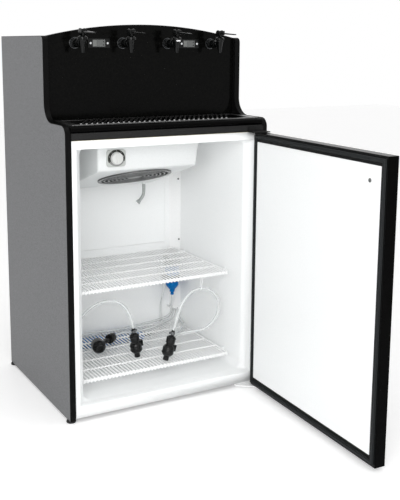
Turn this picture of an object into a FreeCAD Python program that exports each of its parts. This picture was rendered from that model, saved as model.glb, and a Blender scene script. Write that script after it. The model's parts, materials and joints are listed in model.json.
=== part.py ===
import FreeCAD, Part
import math
import os

import Sketcher

# Wine preservation dispenser: an under-counter cooler between two laminated side panels, with a raised
# back carrying four taps over a drip tray. Millimetres, +Z up, +Y to the back, floor at Z = 0,
# origin midway between the four floor glides. The door stands open, as it is used for loading.

os.makedirs("parts", exist_ok=True)
doc = FreeCAD.newDocument("Dispenser")
V = FreeCAD.Vector
UP = V(0, 0, 1)
RIGHT = V(1, 0, 0)

# Driving dimensions
DRIVING = {
    "cabinet_width": 610,
    "cabinet_depth": 505,
    "panel_thickness": 15.5,
    "panel_top": 1016,
    "glide_height": 6,
    "glide_radius": 13,
    "trim_thickness": 1.2,
    "step_height": 792,
    "setback": 150,
    "nose_radius": 26,
    "scoop_radius": 50,
    "crown_radius": 14,
    "backsplash_thickness": 16,
    "arch_rise": 33,
    "ledge_top": 789,
    "ledge_thickness": 16,
    "worktop_thickness": 17,
    "cooler_width": 576,
    "cooler_depth": 482,
    "cooler_bottom": 12,
    "cooler_top": 755,
    "case_thickness": 1.5,
    "liner_thickness": 2,
    "cavity_half_width": 251,
    "cavity_depth": 440,
    "cavity_floor": 42,
    "cavity_ceiling": 731,
    "throat_half_width": 276,
    "throat_depth": 40,
    "shelf_half_width": 235,
    "shelf_depth": 342,
    "shelf_front": 85,
    "shelf_wire": 2.4,
    "upper_shelf_top": 333,
    "lower_shelf_top": 82,
    "door_width": 574,
    "door_bottom": 9,
    "door_top": 753,
    "door_thickness": 29.5,
    "gasket_depth": 8,
    "door_angle": 87.4,
    "hinge_pin_radius": 4,
    "tap_pitch": 140,
    "tap_height": 998,
    "tap_reach": 57,
    "tube_diameter": 8,
}
sheet = doc.addObject("Spreadsheet::Sheet", "Sizes")
for row, (alias, value) in enumerate(DRIVING.items(), start=1):
    sheet.set("A%d" % row, alias)
    sheet.set("B%d" % row, str(value))
    sheet.setAlias("B%d" % row, alias)
doc.recompute()
size = {alias: float(sheet.get(alias)) for alias in DRIVING}

front = -size["cabinet_depth"] / 2
rear = size["cabinet_depth"] / 2
half_width = size["cabinet_width"] / 2
inner_half = half_width - size["panel_thickness"]
parts = []


# Helpers
def bind(thing, prop, text):
    """Tie a property to the sheet: every alias in the text is looked up there."""
    for alias in sorted(DRIVING, key=len, reverse=True):
        text = text.replace(alias, "Sizes.#%d#" % list(DRIVING).index(alias))
    for number, alias in enumerate(DRIVING):
        text = text.replace("#%d#" % number, alias)
    thing.setExpression(prop, text)


def place(thing, x, y, z, rotation=None):
    thing.Placement = FreeCAD.Placement(V(x, y, z), rotation or FreeCAD.Rotation())
    return thing


def keep(thing, label):
    thing.Label = label
    parts.append(thing)
    return thing


def box(x, y, z, length, width, height, label=None):
    """A box from its low corner; each size is a number or an expression on the sheet."""
    thing = doc.addObject("Part::Box", "Box")
    for prop, value in (("Length", length), ("Width", width), ("Height", height)):
        if isinstance(value, str):
            bind(thing, prop, value)
        else:
            setattr(thing, prop, value)
    place(thing, x, y, z)
    return keep(thing, label) if label else thing


def rod(start, axis, radius, length, label=None):
    """A cylinder from its start point along an axis."""
    thing = doc.addObject("Part::Cylinder", "Rod")
    for prop, value in (("Radius", radius), ("Height", length)):
        if isinstance(value, str):
            bind(thing, prop, value)
        else:
            setattr(thing, prop, value)
    thing.Placement = FreeCAD.Placement(V(*start), FreeCAD.Rotation(UP, V(*axis)))
    return keep(thing, label) if label else thing


def cone(start, axis, radius_1, radius_2, length):
    thing = doc.addObject("Part::Cone", "Cone")
    thing.Radius1 = radius_1
    thing.Radius2 = radius_2
    thing.Height = length
    thing.Placement = FreeCAD.Placement(V(*start), FreeCAD.Rotation(UP, V(*axis)))
    return thing


def join(pieces, label=None):
    thing = doc.addObject("Part::MultiFuse", "Joined")
    thing.Shapes = pieces
    return keep(thing, label) if label else thing


def cut(base, tools, label=None):
    thing = doc.addObject("Part::Cut", "Cut")
    thing.Base = base
    thing.Tool = tools[0] if len(tools) == 1 else join(tools)
    return keep(thing, label) if label else thing


def group(pieces, label):
    """Identical small pieces kept as separate solids of one node."""
    thing = doc.addObject("Part::Compound", "Group")
    thing.Links = pieces
    return keep(thing, label)


def feature(shape, label):
    thing = doc.addObject("Part::Feature", "Solid")
    thing.Shape = shape
    return keep(thing, label)


def new_body(label=None):
    body = doc.addObject("PartDesign::Body", "Body")
    return keep(body, label) if label else body


def new_sketch(body, role, lift=0):
    """A sketch on one of the body's own origin planes, lifted along the plane's normal."""
    sketch = body.newObject("Sketcher::SketchObject", "Sketch")
    plane = [item for item in body.Origin.OriginFeatures if item.Role == role][0]
    sketch.AttachmentSupport = [(plane, "")]
    sketch.MapMode = "FlatFace"
    if lift:
        sketch.AttachmentOffset = FreeCAD.Placement(V(0, 0, lift), FreeCAD.Rotation())
    return sketch


def outline(sketch, steps):
    """Close a loop of lines and arcs; a step is a corner (u, v) or an arc (middle, end)."""
    at = steps[0]
    for step in list(steps[1:]) + [steps[0]]:
        if isinstance(step[0], tuple):
            middle, end = step
            sketch.addGeometry(Part.Arc(V(*at), V(*middle), V(*end)))
        else:
            end = step
            if math.dist(at, end) > 1e-6:
                sketch.addGeometry(Part.LineSegment(V(*at), V(*end)))
        at = end


def rectangle(sketch, u, v, width, height):
    outline(sketch, [(u, v), (u + width, v), (u + width, v + height), (u, v + height)])


def circle(sketch, u, v, radius):
    sketch.addGeometry(Part.Circle(V(u, v, 0), UP, radius))


def pad(body, sketch, length, middle=False, reverse=False):
    thing = body.newObject("PartDesign::Pad", "Pad")
    thing.Profile = sketch
    if isinstance(length, str):
        bind(thing, "Length", length)
    else:
        thing.Length = length
    thing.Midplane = middle
    thing.Reversed = reverse
    doc.recompute()
    return thing


def pocket(body, sketch, length=None, reverse=False):
    """Cut through everything both ways, or to a depth; the volume has to fall."""
    before = body.Shape.Volume
    thing = body.newObject("PartDesign::Pocket", "Pocket")
    thing.Profile = sketch
    if length is None:
        thing.Type = "ThroughAll"
        thing.Midplane = True
    else:
        thing.Length = length
        thing.Reversed = reverse
    doc.recompute()
    if body.Shape.Volume >= before - 1e-3:
        raise RuntimeError("a pocket in %s cut nothing" % body.Label)
    return thing


def turned(label, steps):
    """A turned piece: its half section is drawn as (radius, height) and spun round Z."""
    body = new_body(label)
    sketch = new_sketch(body, "XZ_Plane")
    outline(sketch, steps)
    spin = body.newObject("PartDesign::Revolution", "Spin")
    spin.Profile = sketch
    spin.ReferenceAxis = (sketch, ["V_Axis"])
    spin.Angle = 360
    doc.recompute()
    return body


def pattern(body, kind, original, axis, spread, count):
    thing = body.newObject("PartDesign::" + kind, kind)
    thing.Originals = [original]
    if kind == "LinearPattern":
        thing.Direction = axis
        thing.Length = spread
    else:
        thing.Axis = axis
        thing.Angle = spread
    thing.Occurrences = count
    body.Tip = thing
    doc.recompute()
    return thing


def arc_middle(centre, radius, degrees):
    turn = math.radians(degrees)
    return (centre[0] + radius * math.cos(turn), centre[1] + radius * math.sin(turn))


# Side panels and their edge trim
def front_edge(inset):
    """The panels' front and top edge from the floor to the back, moved in by the inset."""
    nose = (front + size["nose_radius"], size["step_height"] - size["nose_radius"])
    scoop = (front + size["setback"] - size["scoop_radius"], size["step_height"] + size["scoop_radius"])
    crown = (front + size["setback"] + size["crown_radius"], size["panel_top"] - size["crown_radius"])
    nose_r = size["nose_radius"] - inset
    scoop_r = size["scoop_radius"] + inset
    crown_r = size["crown_radius"] - inset
    return [
        (front + inset, size["glide_height"]),
        (front + inset, nose[1]),
        (arc_middle(nose, nose_r, 135), (nose[0], nose[1] + nose_r)),
        (scoop[0], scoop[1] - scoop_r),
        (arc_middle(scoop, scoop_r, -45), (scoop[0] + scoop_r, scoop[1])),
        (crown[0] - crown_r, crown[1]),
        (arc_middle(crown, crown_r, 135), (crown[0], crown[1] + crown_r)),
        (rear, size["panel_top"] - inset),
    ]


def backwards(steps):
    """The same run of lines and arcs, walked from its far end."""
    ends = [step[1] if isinstance(step[0], tuple) else step for step in steps]
    turned_round = [ends[-1]]
    for index in range(len(steps) - 1, 0, -1):
        step = steps[index]
        turned_round.append((step[0], ends[index - 1]) if isinstance(step[0], tuple) else ends[index - 1])
    return turned_round


trim_pieces = []
for side, left_face in (("left", -half_width), ("right", inner_half)):
    panel = new_body(side + "_side_panel")
    sketch = new_sketch(panel, "YZ_Plane")
    outline(sketch, front_edge(size["trim_thickness"]) + [(rear, size["glide_height"])])
    pad(panel, sketch, "panel_thickness")
    place(panel, left_face, 0, 0)
    trim = new_body()
    sketch = new_sketch(trim, "YZ_Plane")
    outline(sketch, front_edge(0) + backwards(front_edge(size["trim_thickness"])))
    pad(trim, sketch, "panel_thickness")
    place(trim, left_face, 0, 0)
    trim_pieces.append(trim)
group(trim_pieces, "edge_trims")

glide_x = half_width - size["panel_thickness"] / 2
glide_y = rear - 14
glides = []
for x in (-glide_x, glide_x):
    for y in (-glide_y, glide_y):
        glides.append(rod((x, y, 0), (0, 0, 1), "glide_radius", "glide_height"))
group(glides, "floor_glides")

# Raised back: backsplash, ledge, drip tray and grille
backsplash_front = front + size["setback"] + 15
backsplash_back = backsplash_front + size["backsplash_thickness"]
shank_hole_radius = 11.3
tap_x = [size["tap_pitch"] * (index - 1.5) for index in range(4)]
body = new_body("backsplash_panel")
sketch = new_sketch(body, "XZ_Plane")
board_half = inner_half - 0.2
outline(sketch, [
    (-board_half, size["ledge_top"]),
    (board_half, size["ledge_top"]),
    (board_half, size["panel_top"]),
    ((0, size["panel_top"] + size["arch_rise"]), (-board_half, size["panel_top"])),
])
pad(body, sketch, "backsplash_thickness")
sketch = new_sketch(body, "XZ_Plane")
for x in tap_x:
    circle(sketch, x, size["tap_height"], shank_hole_radius)
pocket(body, sketch)
place(body, 0, backsplash_back, 0)

ledge_under = size["ledge_top"] - size["ledge_thickness"]
ledge_back = rear - 17
tray_half = 277.5
tray_front = front + 15
tray_back = front + 149
body = new_body("ledge_board")
sketch = new_sketch(body, "YZ_Plane")
bullnose = size["ledge_thickness"] / 2
outline(sketch, [
    (ledge_back, ledge_under),
    (ledge_back, size["ledge_top"]),
    (front + bullnose, size["ledge_top"]),
    ((front, size["ledge_top"] - bullnose), (front + bullnose, ledge_under)),
])
pad(body, sketch, 2 * board_half, middle=True)
sketch = new_sketch(body, "XY_Plane", ledge_under - 5)
rectangle(sketch, -tray_half - 0.5, tray_front - 0.5, 2 * tray_half + 1, tray_back - tray_front + 1)
pocket(body, sketch, 40, reverse=True)

# The tray hangs in the ledge by its rim
rim_lap = 5
rim_thickness = 1.5
tray_wall = 2.5
tray_depth = 13.5
tray_length = tray_back - tray_front
rim_under = size["ledge_top"] + 0.3
rim = box(-tray_half - rim_lap, tray_front - rim_lap, rim_under,
          2 * (tray_half + rim_lap), tray_length + 2 * rim_lap, rim_thickness)
basin = box(-tray_half, tray_front, rim_under - tray_depth, 2 * tray_half, tray_length, tray_depth)
hollow = box(-tray_half + tray_wall, tray_front + tray_wall, rim_under - tray_depth + tray_wall,
             2 * (tray_half - tray_wall), tray_length - 2 * tray_wall, tray_depth + 10)
cut(join([rim, basin]), [hollow], "drip_tray")

# The grille lies on the tray's rim: a frame with slanting round bars
grille_under = rim_under + rim_thickness + 0.3
grille_half = tray_half + 3
grille_front = tray_front - 3
grille_back = tray_back + 3
grille_frame = 2.5
frame_width = 9
bar_radius = 2.6
bar_count = 30
bar_slant = 60
frame = cut(
    box(-grille_half, grille_front, grille_under,
        2 * grille_half, grille_back - grille_front, grille_frame),
    [box(-grille_half + 20, grille_front + frame_width, grille_under - 5,
         2 * grille_half - 40, grille_back - grille_front - 2 * frame_width, 20)])
bars = []
bar_run = grille_back - grille_front - 2 * frame_width + 4
bar_shift = bar_run / math.tan(math.radians(bar_slant))
bar_length = math.hypot(bar_run, bar_shift)
bar_pitch = (2 * grille_half - 40 - bar_shift - 14) / (bar_count - 1)
for index in range(bar_count):
    start_x = -grille_half + 27 + index * bar_pitch
    bars.append(rod((start_x, grille_front + frame_width - 2, grille_under + grille_frame - 0.6),
                    (bar_shift, bar_run, 0), bar_radius, bar_length))
join([frame] + bars, "drip_grille")

# Closed top and rear cover of the raised back, with air slots
slot_width = 8
slot_pitch = 22
lid_thickness = 3
body = new_body("tower_top_panel")
tower_depth = rear - 4 - backsplash_back - 0.3
sketch = new_sketch(body, "XY_Plane", size["panel_top"] - lid_thickness)
rectangle(sketch, -board_half, backsplash_back + 0.3, 2 * board_half, tower_depth)
pad(body, sketch, lid_thickness)
sketch = new_sketch(body, "XY_Plane", size["panel_top"] + 5)
rectangle(sketch, -120, backsplash_back + 60, slot_width, 180)
slot = pocket(body, sketch, 20)
pattern(body, "LinearPattern", slot, (new_sketch(body, "XY_Plane"), ["H_Axis"]), slot_pitch * 11, 12)

cover_bottom = size["ledge_top"] - 14
body = new_body("tower_rear_cover")
sketch = new_sketch(body, "XZ_Plane")
rectangle(sketch, -board_half, cover_bottom, 2 * board_half, size["panel_top"] - 0.3 - cover_bottom)
pad(body, sketch, 3)
inlet_x = 255
sketch = new_sketch(body, "XZ_Plane")
rectangle(sketch, inlet_x - 12.5, 801.5, 25, 21)
pocket(body, sketch)
sketch = new_sketch(body, "XZ_Plane")
rectangle(sketch, -60, 830, 260, 7)
slot = pocket(body, sketch)
pattern(body, "LinearPattern", slot, (new_sketch(body, "XZ_Plane"), ["V_Axis"]), 18 * 8, 9)
place(body, 0, rear - 0.6, 0)

# Refrigeration unit in the raised back
deck = size["ledge_top"] + 0.3
body = turned("compressor", [
    (0, 0), (70, 0), (78, 12), (78, 84), ((66, 122), (40, 138)), (0, 144),
])
place(body, -165, front + 345, deck)

fins = [box(-40 + 9 * index, ledge_back - 62, deck + 12, 1.2, 40, 170) for index in range(30)]
coils = []
for row in range(5):
    for column in (0, 1):
        coils.append(rod((-52, ledge_back - 52 + 20 * column, deck + 30 + 33 * row), (1, 0, 0), 4, 285))
feet = [box(-44, ledge_back - 64, deck, 12, 44, 182), box(222, ledge_back - 64, deck, 12, 44, 182)]
join(fins + coils + feet, "condenser")

socket_body = join([
    box(inlet_x - 15, rear - 0.6, 800, 30, 2.4, 24),
    box(inlet_x - 12, rear - 26, 802, 24, 26, 20),
])
cut(socket_body, [box(inlet_x - 9, rear - 18, 805, 18, 40, 14)], "power_inlet")

# Cooler cabinet under the ledge
cooler_half = size["cooler_width"] / 2
case_depth = size["cooler_depth"] - 2
box(-cooler_half, front, size["cooler_top"] + 0.5, "cooler_width", "cooler_depth", "worktop_thickness",
    "fridge_worktop")
shell = size["case_thickness"]
case_height = size["cooler_top"] - size["cooler_bottom"]
cut(box(-cooler_half, front + 2, size["cooler_bottom"], "cooler_width", case_depth, case_height),
    [box(-cooler_half + shell, front - 5, size["cooler_bottom"] + shell,
         size["cooler_width"] - 2 * shell, case_depth + 7 - shell, case_height - 2 * shell)],
    "fridge_case")


cavity_corner = 12


def cavity_plan(sketch, grow, back):
    """The cavity seen from above: a flared mouth that narrows to straight walls."""
    mouth = size["throat_half_width"] + grow
    wall = size["cavity_half_width"] + grow
    neck = front + size["throat_depth"]
    outline(sketch, [
        (-mouth, front), (mouth, front), (wall, neck), (wall, back - cavity_corner),
        (wall - cavity_corner, back), (-wall + cavity_corner, back), (-wall, back - cavity_corner),
        (-wall, neck),
    ])


cavity_back = front + size["cavity_depth"]
wall = size["liner_thickness"]
floor_z = size["cavity_floor"]
ceiling_z = size["cavity_ceiling"]
body = new_body("inner_liner")
sketch = new_sketch(body, "XY_Plane", floor_z - wall)
cavity_plan(sketch, wall, cavity_back + wall)
pad(body, sketch, ceiling_z - floor_z + 2 * wall)
sketch = new_sketch(body, "XZ_Plane", -front - wall)
flange_height = size["cooler_top"] - 2 - size["cooler_bottom"]
rectangle(sketch, -cooler_half, size["cooler_bottom"], 2 * cooler_half, flange_height)
pad(body, sketch, wall)
sketch = new_sketch(body, "XY_Plane", floor_z)
cavity_plan(sketch, 0, cavity_back)
pocket(body, sketch, ceiling_z - floor_z, reverse=True)

body = new_body()
sketch = new_sketch(body, "XY_Plane", floor_z - wall)
cavity_plan(sketch, wall, cavity_back + wall)
pad(body, sketch, ceiling_z - floor_z + 2 * wall)
foam = box(-cooler_half + shell, front + 2, size["cooler_bottom"] + shell,
           size["cooler_width"] - 2 * shell, case_depth - shell, case_height - 2 * shell)
cut(foam, [body], "insulation")

# Rear wall of the cavity: air duct, and the chase that takes the lines up to the taps
duct_left = -size["cavity_half_width"] + cavity_corner + 1
duct_right = 203
duct_bottom = 353
box(duct_left, cavity_back - 7, duct_bottom, duct_right - duct_left, 6.9, ceiling_z - 1 - duct_bottom,
    "air_duct_panel")
chase_width = 28.2
chase_step = 1.2
chase_bottom = 120
corner_x = size["cavity_half_width"]
body = new_body("line_chase")
sketch = new_sketch(body, "XY_Plane", chase_bottom)
outline(sketch, [
    (corner_x - 0.1, cavity_back - chase_width), (corner_x - 0.1, cavity_back - chase_width + chase_step),
    (corner_x - chase_width + chase_step, cavity_back - 0.1), (corner_x - chase_width, cavity_back - 0.1),
])
pad(body, sketch, ceiling_z - 1 - chase_bottom)

# Evaporator housing: its underside slopes down to the back and carries the fan
housing_left = -178
housing_width = 306
housing_front = front + 90
housing_back = front + 372
slope = 0.32
slope_degrees = math.degrees(math.atan(slope))
skin = 2.5


def underside(y):
    return 656 - slope * (y - housing_front)


def housing_section(sketch, inset, top):
    near = housing_front + inset
    far = housing_back - inset
    outline(sketch, [
        (near, top), (near, underside(near) + 1.05 * inset),
        (far, underside(far) + 1.05 * inset), (far, top),
    ])


body = new_body()
sketch = new_sketch(body, "YZ_Plane", housing_left)
housing_section(sketch, 0, ceiling_z - 0.1)
pad(body, sketch, housing_width)
hollow = new_body()
sketch = new_sketch(hollow, "YZ_Plane", housing_left + skin)
housing_section(sketch, skin, ceiling_z + 20)
pad(hollow, sketch, housing_width - 2 * skin)
tilt = FreeCAD.Rotation(RIGHT, -slope_degrees)
fan_x = -12
fan_y = front + 212
opening_radius = 98
fan_centre = V(fan_x, fan_y, underside(fan_y))
fan_axis = tilt.multVec(UP)
opening = rod(tuple(fan_centre - fan_axis * 15), tuple(fan_axis), opening_radius, 40)
air_outlet = box(fan_x - 110, housing_back - 10, 640, 220, 20, 60)
drain_x = 91
drain_y = front + 360
drain_z = 566
drain_diameter = 10
stub = rod((drain_x, drain_y, drain_z), (0, 0, 1), drain_diameter / 2 + 2, 9)
cut(join([cut(body, [hollow]), stub]), [opening, air_outlet], "evaporator_housing")

# The grille, blades and motor are drawn upright and then tilted onto the slope
grille_radius = 108
grille_thickness = 4
gap_pitch = 11.6
gap_width = 7
disc = rod((0, 0, -0.3 - grille_thickness), (0, 0, 1), grille_radius, grille_thickness)
rings = []
for index in range(7):
    inner = 21 + gap_pitch * index
    ring = cut(rod((0, 0, -20), (0, 0, 1), inner + gap_width, 40),
               [rod((0, 0, -30), (0, 0, 1), inner, 60)])
    rings.append(ring)
spokes = []
for index in range(6):
    spoke = box(0, 0, 0, grille_radius - 6, 6, grille_thickness - 1)
    turn = FreeCAD.Rotation(UP, 60 * index)
    corner = turn.multVec(V(0, -3, -0.3 - grille_thickness + 1))
    place(spoke, corner.x, corner.y, corner.z, turn)
    spokes.append(spoke)
grille = join([cut(disc, rings)] + spokes, "fan_grille")
place(grille, *fan_centre, tilt)

shaft_radius = 4
blade_length = 71
hub = rod((0, 0, 14), (0, 0, 1), 18, 22)
blades = []
for index in range(5):
    blade = box(0, 0, 0, blade_length, 44, 2)
    turn = FreeCAD.Rotation(UP, 72 * index) * FreeCAD.Rotation(RIGHT, 28)
    corner = turn.multVec(V(14, -22, -1)) + V(0, 0, 25)
    place(blade, corner.x, corner.y, corner.z, turn)
    blades.append(blade)
wheel = cut(join([hub] + blades), [rod((0, 0, -5), (0, 0, 1), shaft_radius + 0.05, 80)], "fan_blade")
place(wheel, *fan_centre, tilt)

motor_can = rod((0, 0, 46), (0, 0, 1), 30, 40)
motor_shaft = rod((0, 0, 12), (0, 0, 1), shaft_radius, 40)
carrier = box(housing_left + skin - fan_x, -12, 84, housing_width - 2 * skin, 24, 3)
motor = join([motor_can, motor_shaft, carrier], "fan_motor")
place(motor, *fan_centre, tilt)

coil_left = -150
coil_width = 250
coil_y = front + 338
coil_z = 590
fins = [box(coil_left + 12 + 10 * index, coil_y, coil_z, 1, 28, 112) for index in range(24)]
tubes = []
for row in range(4):
    for column in (0, 1):
        start = (coil_left, coil_y + 7 + 14 * column, coil_z + 16 + 27 * row)
        tubes.append(rod(start, (1, 0, 0), 4, coil_width))
ends = [box(x, coil_y - 1, coil_z - 3, 2, 30, 118) for x in (coil_left, coil_left + coil_width - 2)]
join(fins + tubes + ends, "evaporator_coil")

# Thermostat on the housing's front
dial_x = -126
dial_z = 691
plate_thickness = 4
spindle = 3
plate_y = housing_front - 0.2
body = new_body()
sketch = new_sketch(body, "XZ_Plane")
corner = 8
left, right, low, high = dial_x - 28, dial_x + 28, dial_z - 23.5, dial_z + 23.5
bulge = corner * (1 - math.sqrt(0.5))
outline(sketch, [
    (left + corner, low), (right - corner, low),
    ((right - bulge, low + bulge), (right, low + corner)), (right, high - corner),
    ((right - bulge, high - bulge), (right - corner, high)), (left + corner, high),
    ((left + bulge, high - bulge), (left, high - corner)), (left, low + corner),
    ((left + bulge, low + bulge), (left + corner, low)),
])
pad(body, sketch, plate_thickness)
place(body, 0, plate_y, 0)
knob_radius = 17
knob_height = 14
knob_socket = 8
spindle_length = plate_thickness - 1 + knob_socket
join([body, rod((dial_x, plate_y - 1, dial_z), (0, -1, 0), spindle, spindle_length)], "thermostat_plate")

knob = turned("", [
    (spindle + 0.05, 0), (knob_radius, 0), (knob_radius, 5), (knob_radius - 1.5, knob_height - 4),
    (0, knob_height - 4), (0, knob_socket), (spindle + 0.05, knob_socket),
])
grip = box(-3.5, -knob_radius + 2, knob_height - 5, 7, 2 * knob_radius - 4, 5)
knob_piece = join([knob, grip], "thermostat_knob")
place(knob_piece, dial_x, plate_y - plate_thickness - 0.4, dial_z, FreeCAD.Rotation(UP, V(0, -1, 0)))


# Wire shelves: a flat net with a rail round it and a lip at the front
def shelf(label, y, top):
    half = size["shelf_half_width"]
    depth = size["shelf_depth"]
    rail = 6
    cross_bars = 4
    wires = 42
    net = new_body()
    sketch = new_sketch(net, "XY_Plane", top - 3)
    rectangle(sketch, -half, y, 2 * half, depth)
    pad(net, sketch, 3)
    sketch = new_sketch(net, "XY_Plane", top - 3)
    pitch = (2 * half - 2 * rail + size["shelf_wire"]) / wires
    bay = (depth - 2 * rail - cross_bars * 5) / (cross_bars + 1)
    for row in range(cross_bars + 1):
        for column in range(wires):
            rectangle(sketch, -half + rail + column * pitch, y + rail + row * (bay + 5),
                      pitch - size["shelf_wire"], bay)
    pocket(net, sketch, 5, reverse=True)
    rails = [
        box(-half, y, top - 4, rail, depth, 4),
        box(half - rail, y, top - 4, rail, depth, 4),
        box(-half, y + depth - rail, top - 4, 2 * half, rail, 4),
        box(-half, y, top - 12.5, 2 * half, 3, 12.5),
    ]
    return join([net] + rails, label)


shelf("upper_shelf", front + size["shelf_front"], size["upper_shelf_top"])
shelf("lower_shelf", front + size["shelf_front"] - 6, size["lower_shelf_top"])

peg_radius = 5
pegs = []
for top in (size["upper_shelf_top"], size["lower_shelf_top"]):
    for y in (front + 130, front + 385):
        for x, way in ((-size["cavity_half_width"], 1), (size["cavity_half_width"], -1)):
            pegs.append(rod((x, y, top - 4.3 - peg_radius), (way, 0, 0), peg_radius, 23))
group(pegs, "shelf_supports")

# Gas cylinder lying on the floor of the cavity, filter on the rear wall
cylinder_radius = 17.7
cylinder_start = V(-135, front + 412, floor_z + cylinder_radius)
cylinder_end = V(110, front + 392, floor_z + cylinder_radius)
along = (cylinder_end - cylinder_start).normalize()
cylinder_length = (cylinder_end - cylinder_start).Length
bottle = turned("", [
    (0, 0), (13, 0), ((16.3, 1.4), (cylinder_radius, 5)), (cylinder_radius, cylinder_length - 22),
    ((14.5, cylinder_length - 12), (8, cylinder_length - 6)), (8, cylinder_length), (6, cylinder_length),
    (6, cylinder_length + 20), (0, cylinder_length + 20),
])
bottle.Label = "gas_cylinder"
parts.append(bottle)
place(bottle, *cylinder_start, FreeCAD.Rotation(UP, along))

filter_x = 214
filter_y = front + 401
filter_cap = turned("", [
    (0, 227), (23, 227), (25, 229), (25, 247), (24, 249), (24, 282), (27, 284), (27, 309), (24, 313),
    (0, 313),
])
place(filter_cap, filter_x, filter_y, 0)
bracket = box(filter_x - 13, filter_y + 10, 286, 18, cavity_back - filter_y - 10.1, 20)
port_x = 184
port = rod((filter_x, filter_y, 243), (-1, 0, 0), 6, filter_x - port_x + 6)
spigot = rod((port_x, filter_y, 236), (0, 0, 1), 4.5, 6)
join([filter_cap, bracket, port, spigot], "gas_filter_body")
bowl = turned("gas_filter_bowl", [
    (0, 179), (7, 179), (7, 186), (5, 187), (5, 189), (11, 190), (21, 215), (21, 227), (0, 227),
])
place(bowl, filter_x, filter_y, 0)

# Hinges: the pins stand in bushes in the door's top and bottom
hinge_x = 274
hinge_y = front - 27
door_half = size["door_width"] / 2
leaf = 3
pin_radius = size["hinge_pin_radius"]
pin_length = 18
top_leaf_z = size["door_top"] + 1
join([
    box(hinge_x - 34, front - 2.2, top_leaf_z, 50, 2, 16),
    box(hinge_x - 34, hinge_y - 12, top_leaf_z, 50, front - 0.2 - hinge_y + 12, leaf),
    rod((hinge_x, hinge_y, top_leaf_z + 1), (0, 0, -1), "hinge_pin_radius", pin_length + 2),
], "top_hinge")

bottom_leaf_z = size["door_bottom"] - 1 - leaf
body = new_body()
sketch = new_sketch(body, "XY_Plane", bottom_leaf_z)
leaf_left, leaf_right = 209, 278
outline(sketch, [
    (leaf_left, front + 22), (leaf_left, front - 1), (262, hinge_y - 12), (284, hinge_y - 12),
    (284, front - 6), (leaf_right, front), (leaf_right, front + 22),
])
pad(body, sketch, leaf)
join([
    body,
    box(leaf_left, front + 3, bottom_leaf_z + leaf - 1,
        leaf_right - leaf_left, 19, size["cooler_bottom"] - bottom_leaf_z - leaf + 1),
    rod((hinge_x, hinge_y, bottom_leaf_z + 1), (0, 0, 1), "hinge_pin_radius", pin_length + 3),
], "bottom_hinge")

# Door, drawn closed about its hinge line and then swung open
door_turn = FreeCAD.Rotation(UP, size["door_angle"])
door_left = -door_half - hinge_x
inner_plane = front - 8.5 - hinge_y
outer_plane = inner_plane - size["door_thickness"]
door_height = size["door_top"] - size["door_bottom"]
bush_radius = 7.5
bush_depth = pin_length + 3
sheet_steel = 1.5
bush_holes = [
    rod((0, 0, size["door_top"] - bush_depth), (0, 0, 1), bush_radius + 0.1, 60),
    rod((0, 0, size["door_bottom"] + bush_depth), (0, 0, -1), bush_radius + 0.1, 60),
]


def hang(thing):
    return place(thing, hinge_x, hinge_y, 0, door_turn)


pan = box(door_left, outer_plane, size["door_bottom"],
          size["door_width"], size["door_thickness"], door_height)
core_corner = (door_left + sheet_steel, outer_plane + sheet_steel, size["door_bottom"] + sheet_steel)
core_width = size["door_width"] - 2 * sheet_steel
core_height = door_height - 2 * sheet_steel
inside = box(*core_corner, core_width, size["door_thickness"] + 10, core_height)
hang(cut(pan, [inside, join(bush_holes)], "door_skin"))
filling = box(*core_corner, core_width, size["door_thickness"] - sheet_steel, core_height)
hang(cut(filling, [join(bush_holes)], "door_core"))

margin_free, margin_hinge, margin_low, margin_high = 21.1, 17.6, 25.6, 24.5
panel_left = door_left + margin_free
panel_low = size["door_bottom"] + margin_low
panel_width = size["door_width"] - margin_free - margin_hinge
panel_height = door_height - margin_low - margin_high
body = new_body("door_inner_panel")
sketch = new_sketch(body, "XZ_Plane", -inner_plane - 3)
rectangle(sketch, panel_left, panel_low, panel_width, panel_height)
pad(body, sketch, 3)
hang(body)

gasket_edge = 6.5
gasket_width = 10.3
gasket_depth = size["gasket_depth"] - 1
gasket_outer = box(door_left + gasket_edge, inner_plane, size["door_bottom"] + gasket_edge,
                   size["door_width"] - 2 * gasket_edge, gasket_depth, door_height - 2 * gasket_edge)
edge = gasket_edge + gasket_width
gasket_hole = box(door_left + edge, inner_plane - 5, size["door_bottom"] + edge,
                  size["door_width"] - 2 * edge, gasket_depth + 10, door_height - 2 * edge)
hang(cut(gasket_outer, [gasket_hole], "door_gasket"))

bushes = []
for start, way in ((size["door_top"] - bush_depth + 0.2, 1), (size["door_bottom"] + bush_depth - 0.2, -1)):
    sleeve = join([
        rod((0, 0, start), (0, 0, way), bush_radius, bush_depth - 0.2),
        rod((0, 0, start + way * (bush_depth - 0.2)), (0, 0, way), bush_radius + 2, 0.6),
    ])
    bushes.append(cut(sleeve, [rod((0, 0, start - way * 5), (0, 0, way), pin_radius + 0.05, 60)]))
hang(group(bushes, "door_bushes"))

# Small displays between the taps
plate_y = backsplash_front - 0.1
bezels = []
windows = []
screws = []
display_z = 997.5
for x in (-size["tap_pitch"], size["tap_pitch"]):
    plate = box(x - 32, plate_y - 3, display_z - 12.5, 64, 3, 25)
    holes = [box(x - 18.5, plate_y - 10, display_z - 9.5, 37, 20, 19)]
    windows.append(box(x - 18.4, plate_y - 2.4, display_z - 9.4, 36.8, 2.2, 18.8))
    for way in (-1, 1):
        holes.append(rod((x + way * 25, plate_y - 10, display_z), (0, 1, 0), 1.6, 20))
        screws.append(join([
            rod((x + way * 25, plate_y - 4.4, display_z), (0, 1, 0), 2.8, 1.4),
            rod((x + way * 25, plate_y - 4, display_z), (0, 1, 0), 1.5, 3.8),
        ]))
    bezels.append(cut(plate, holes))
group(bezels, "display_bezels")
group(windows, "display_windows")
group(screws, "display_screws")

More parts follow.
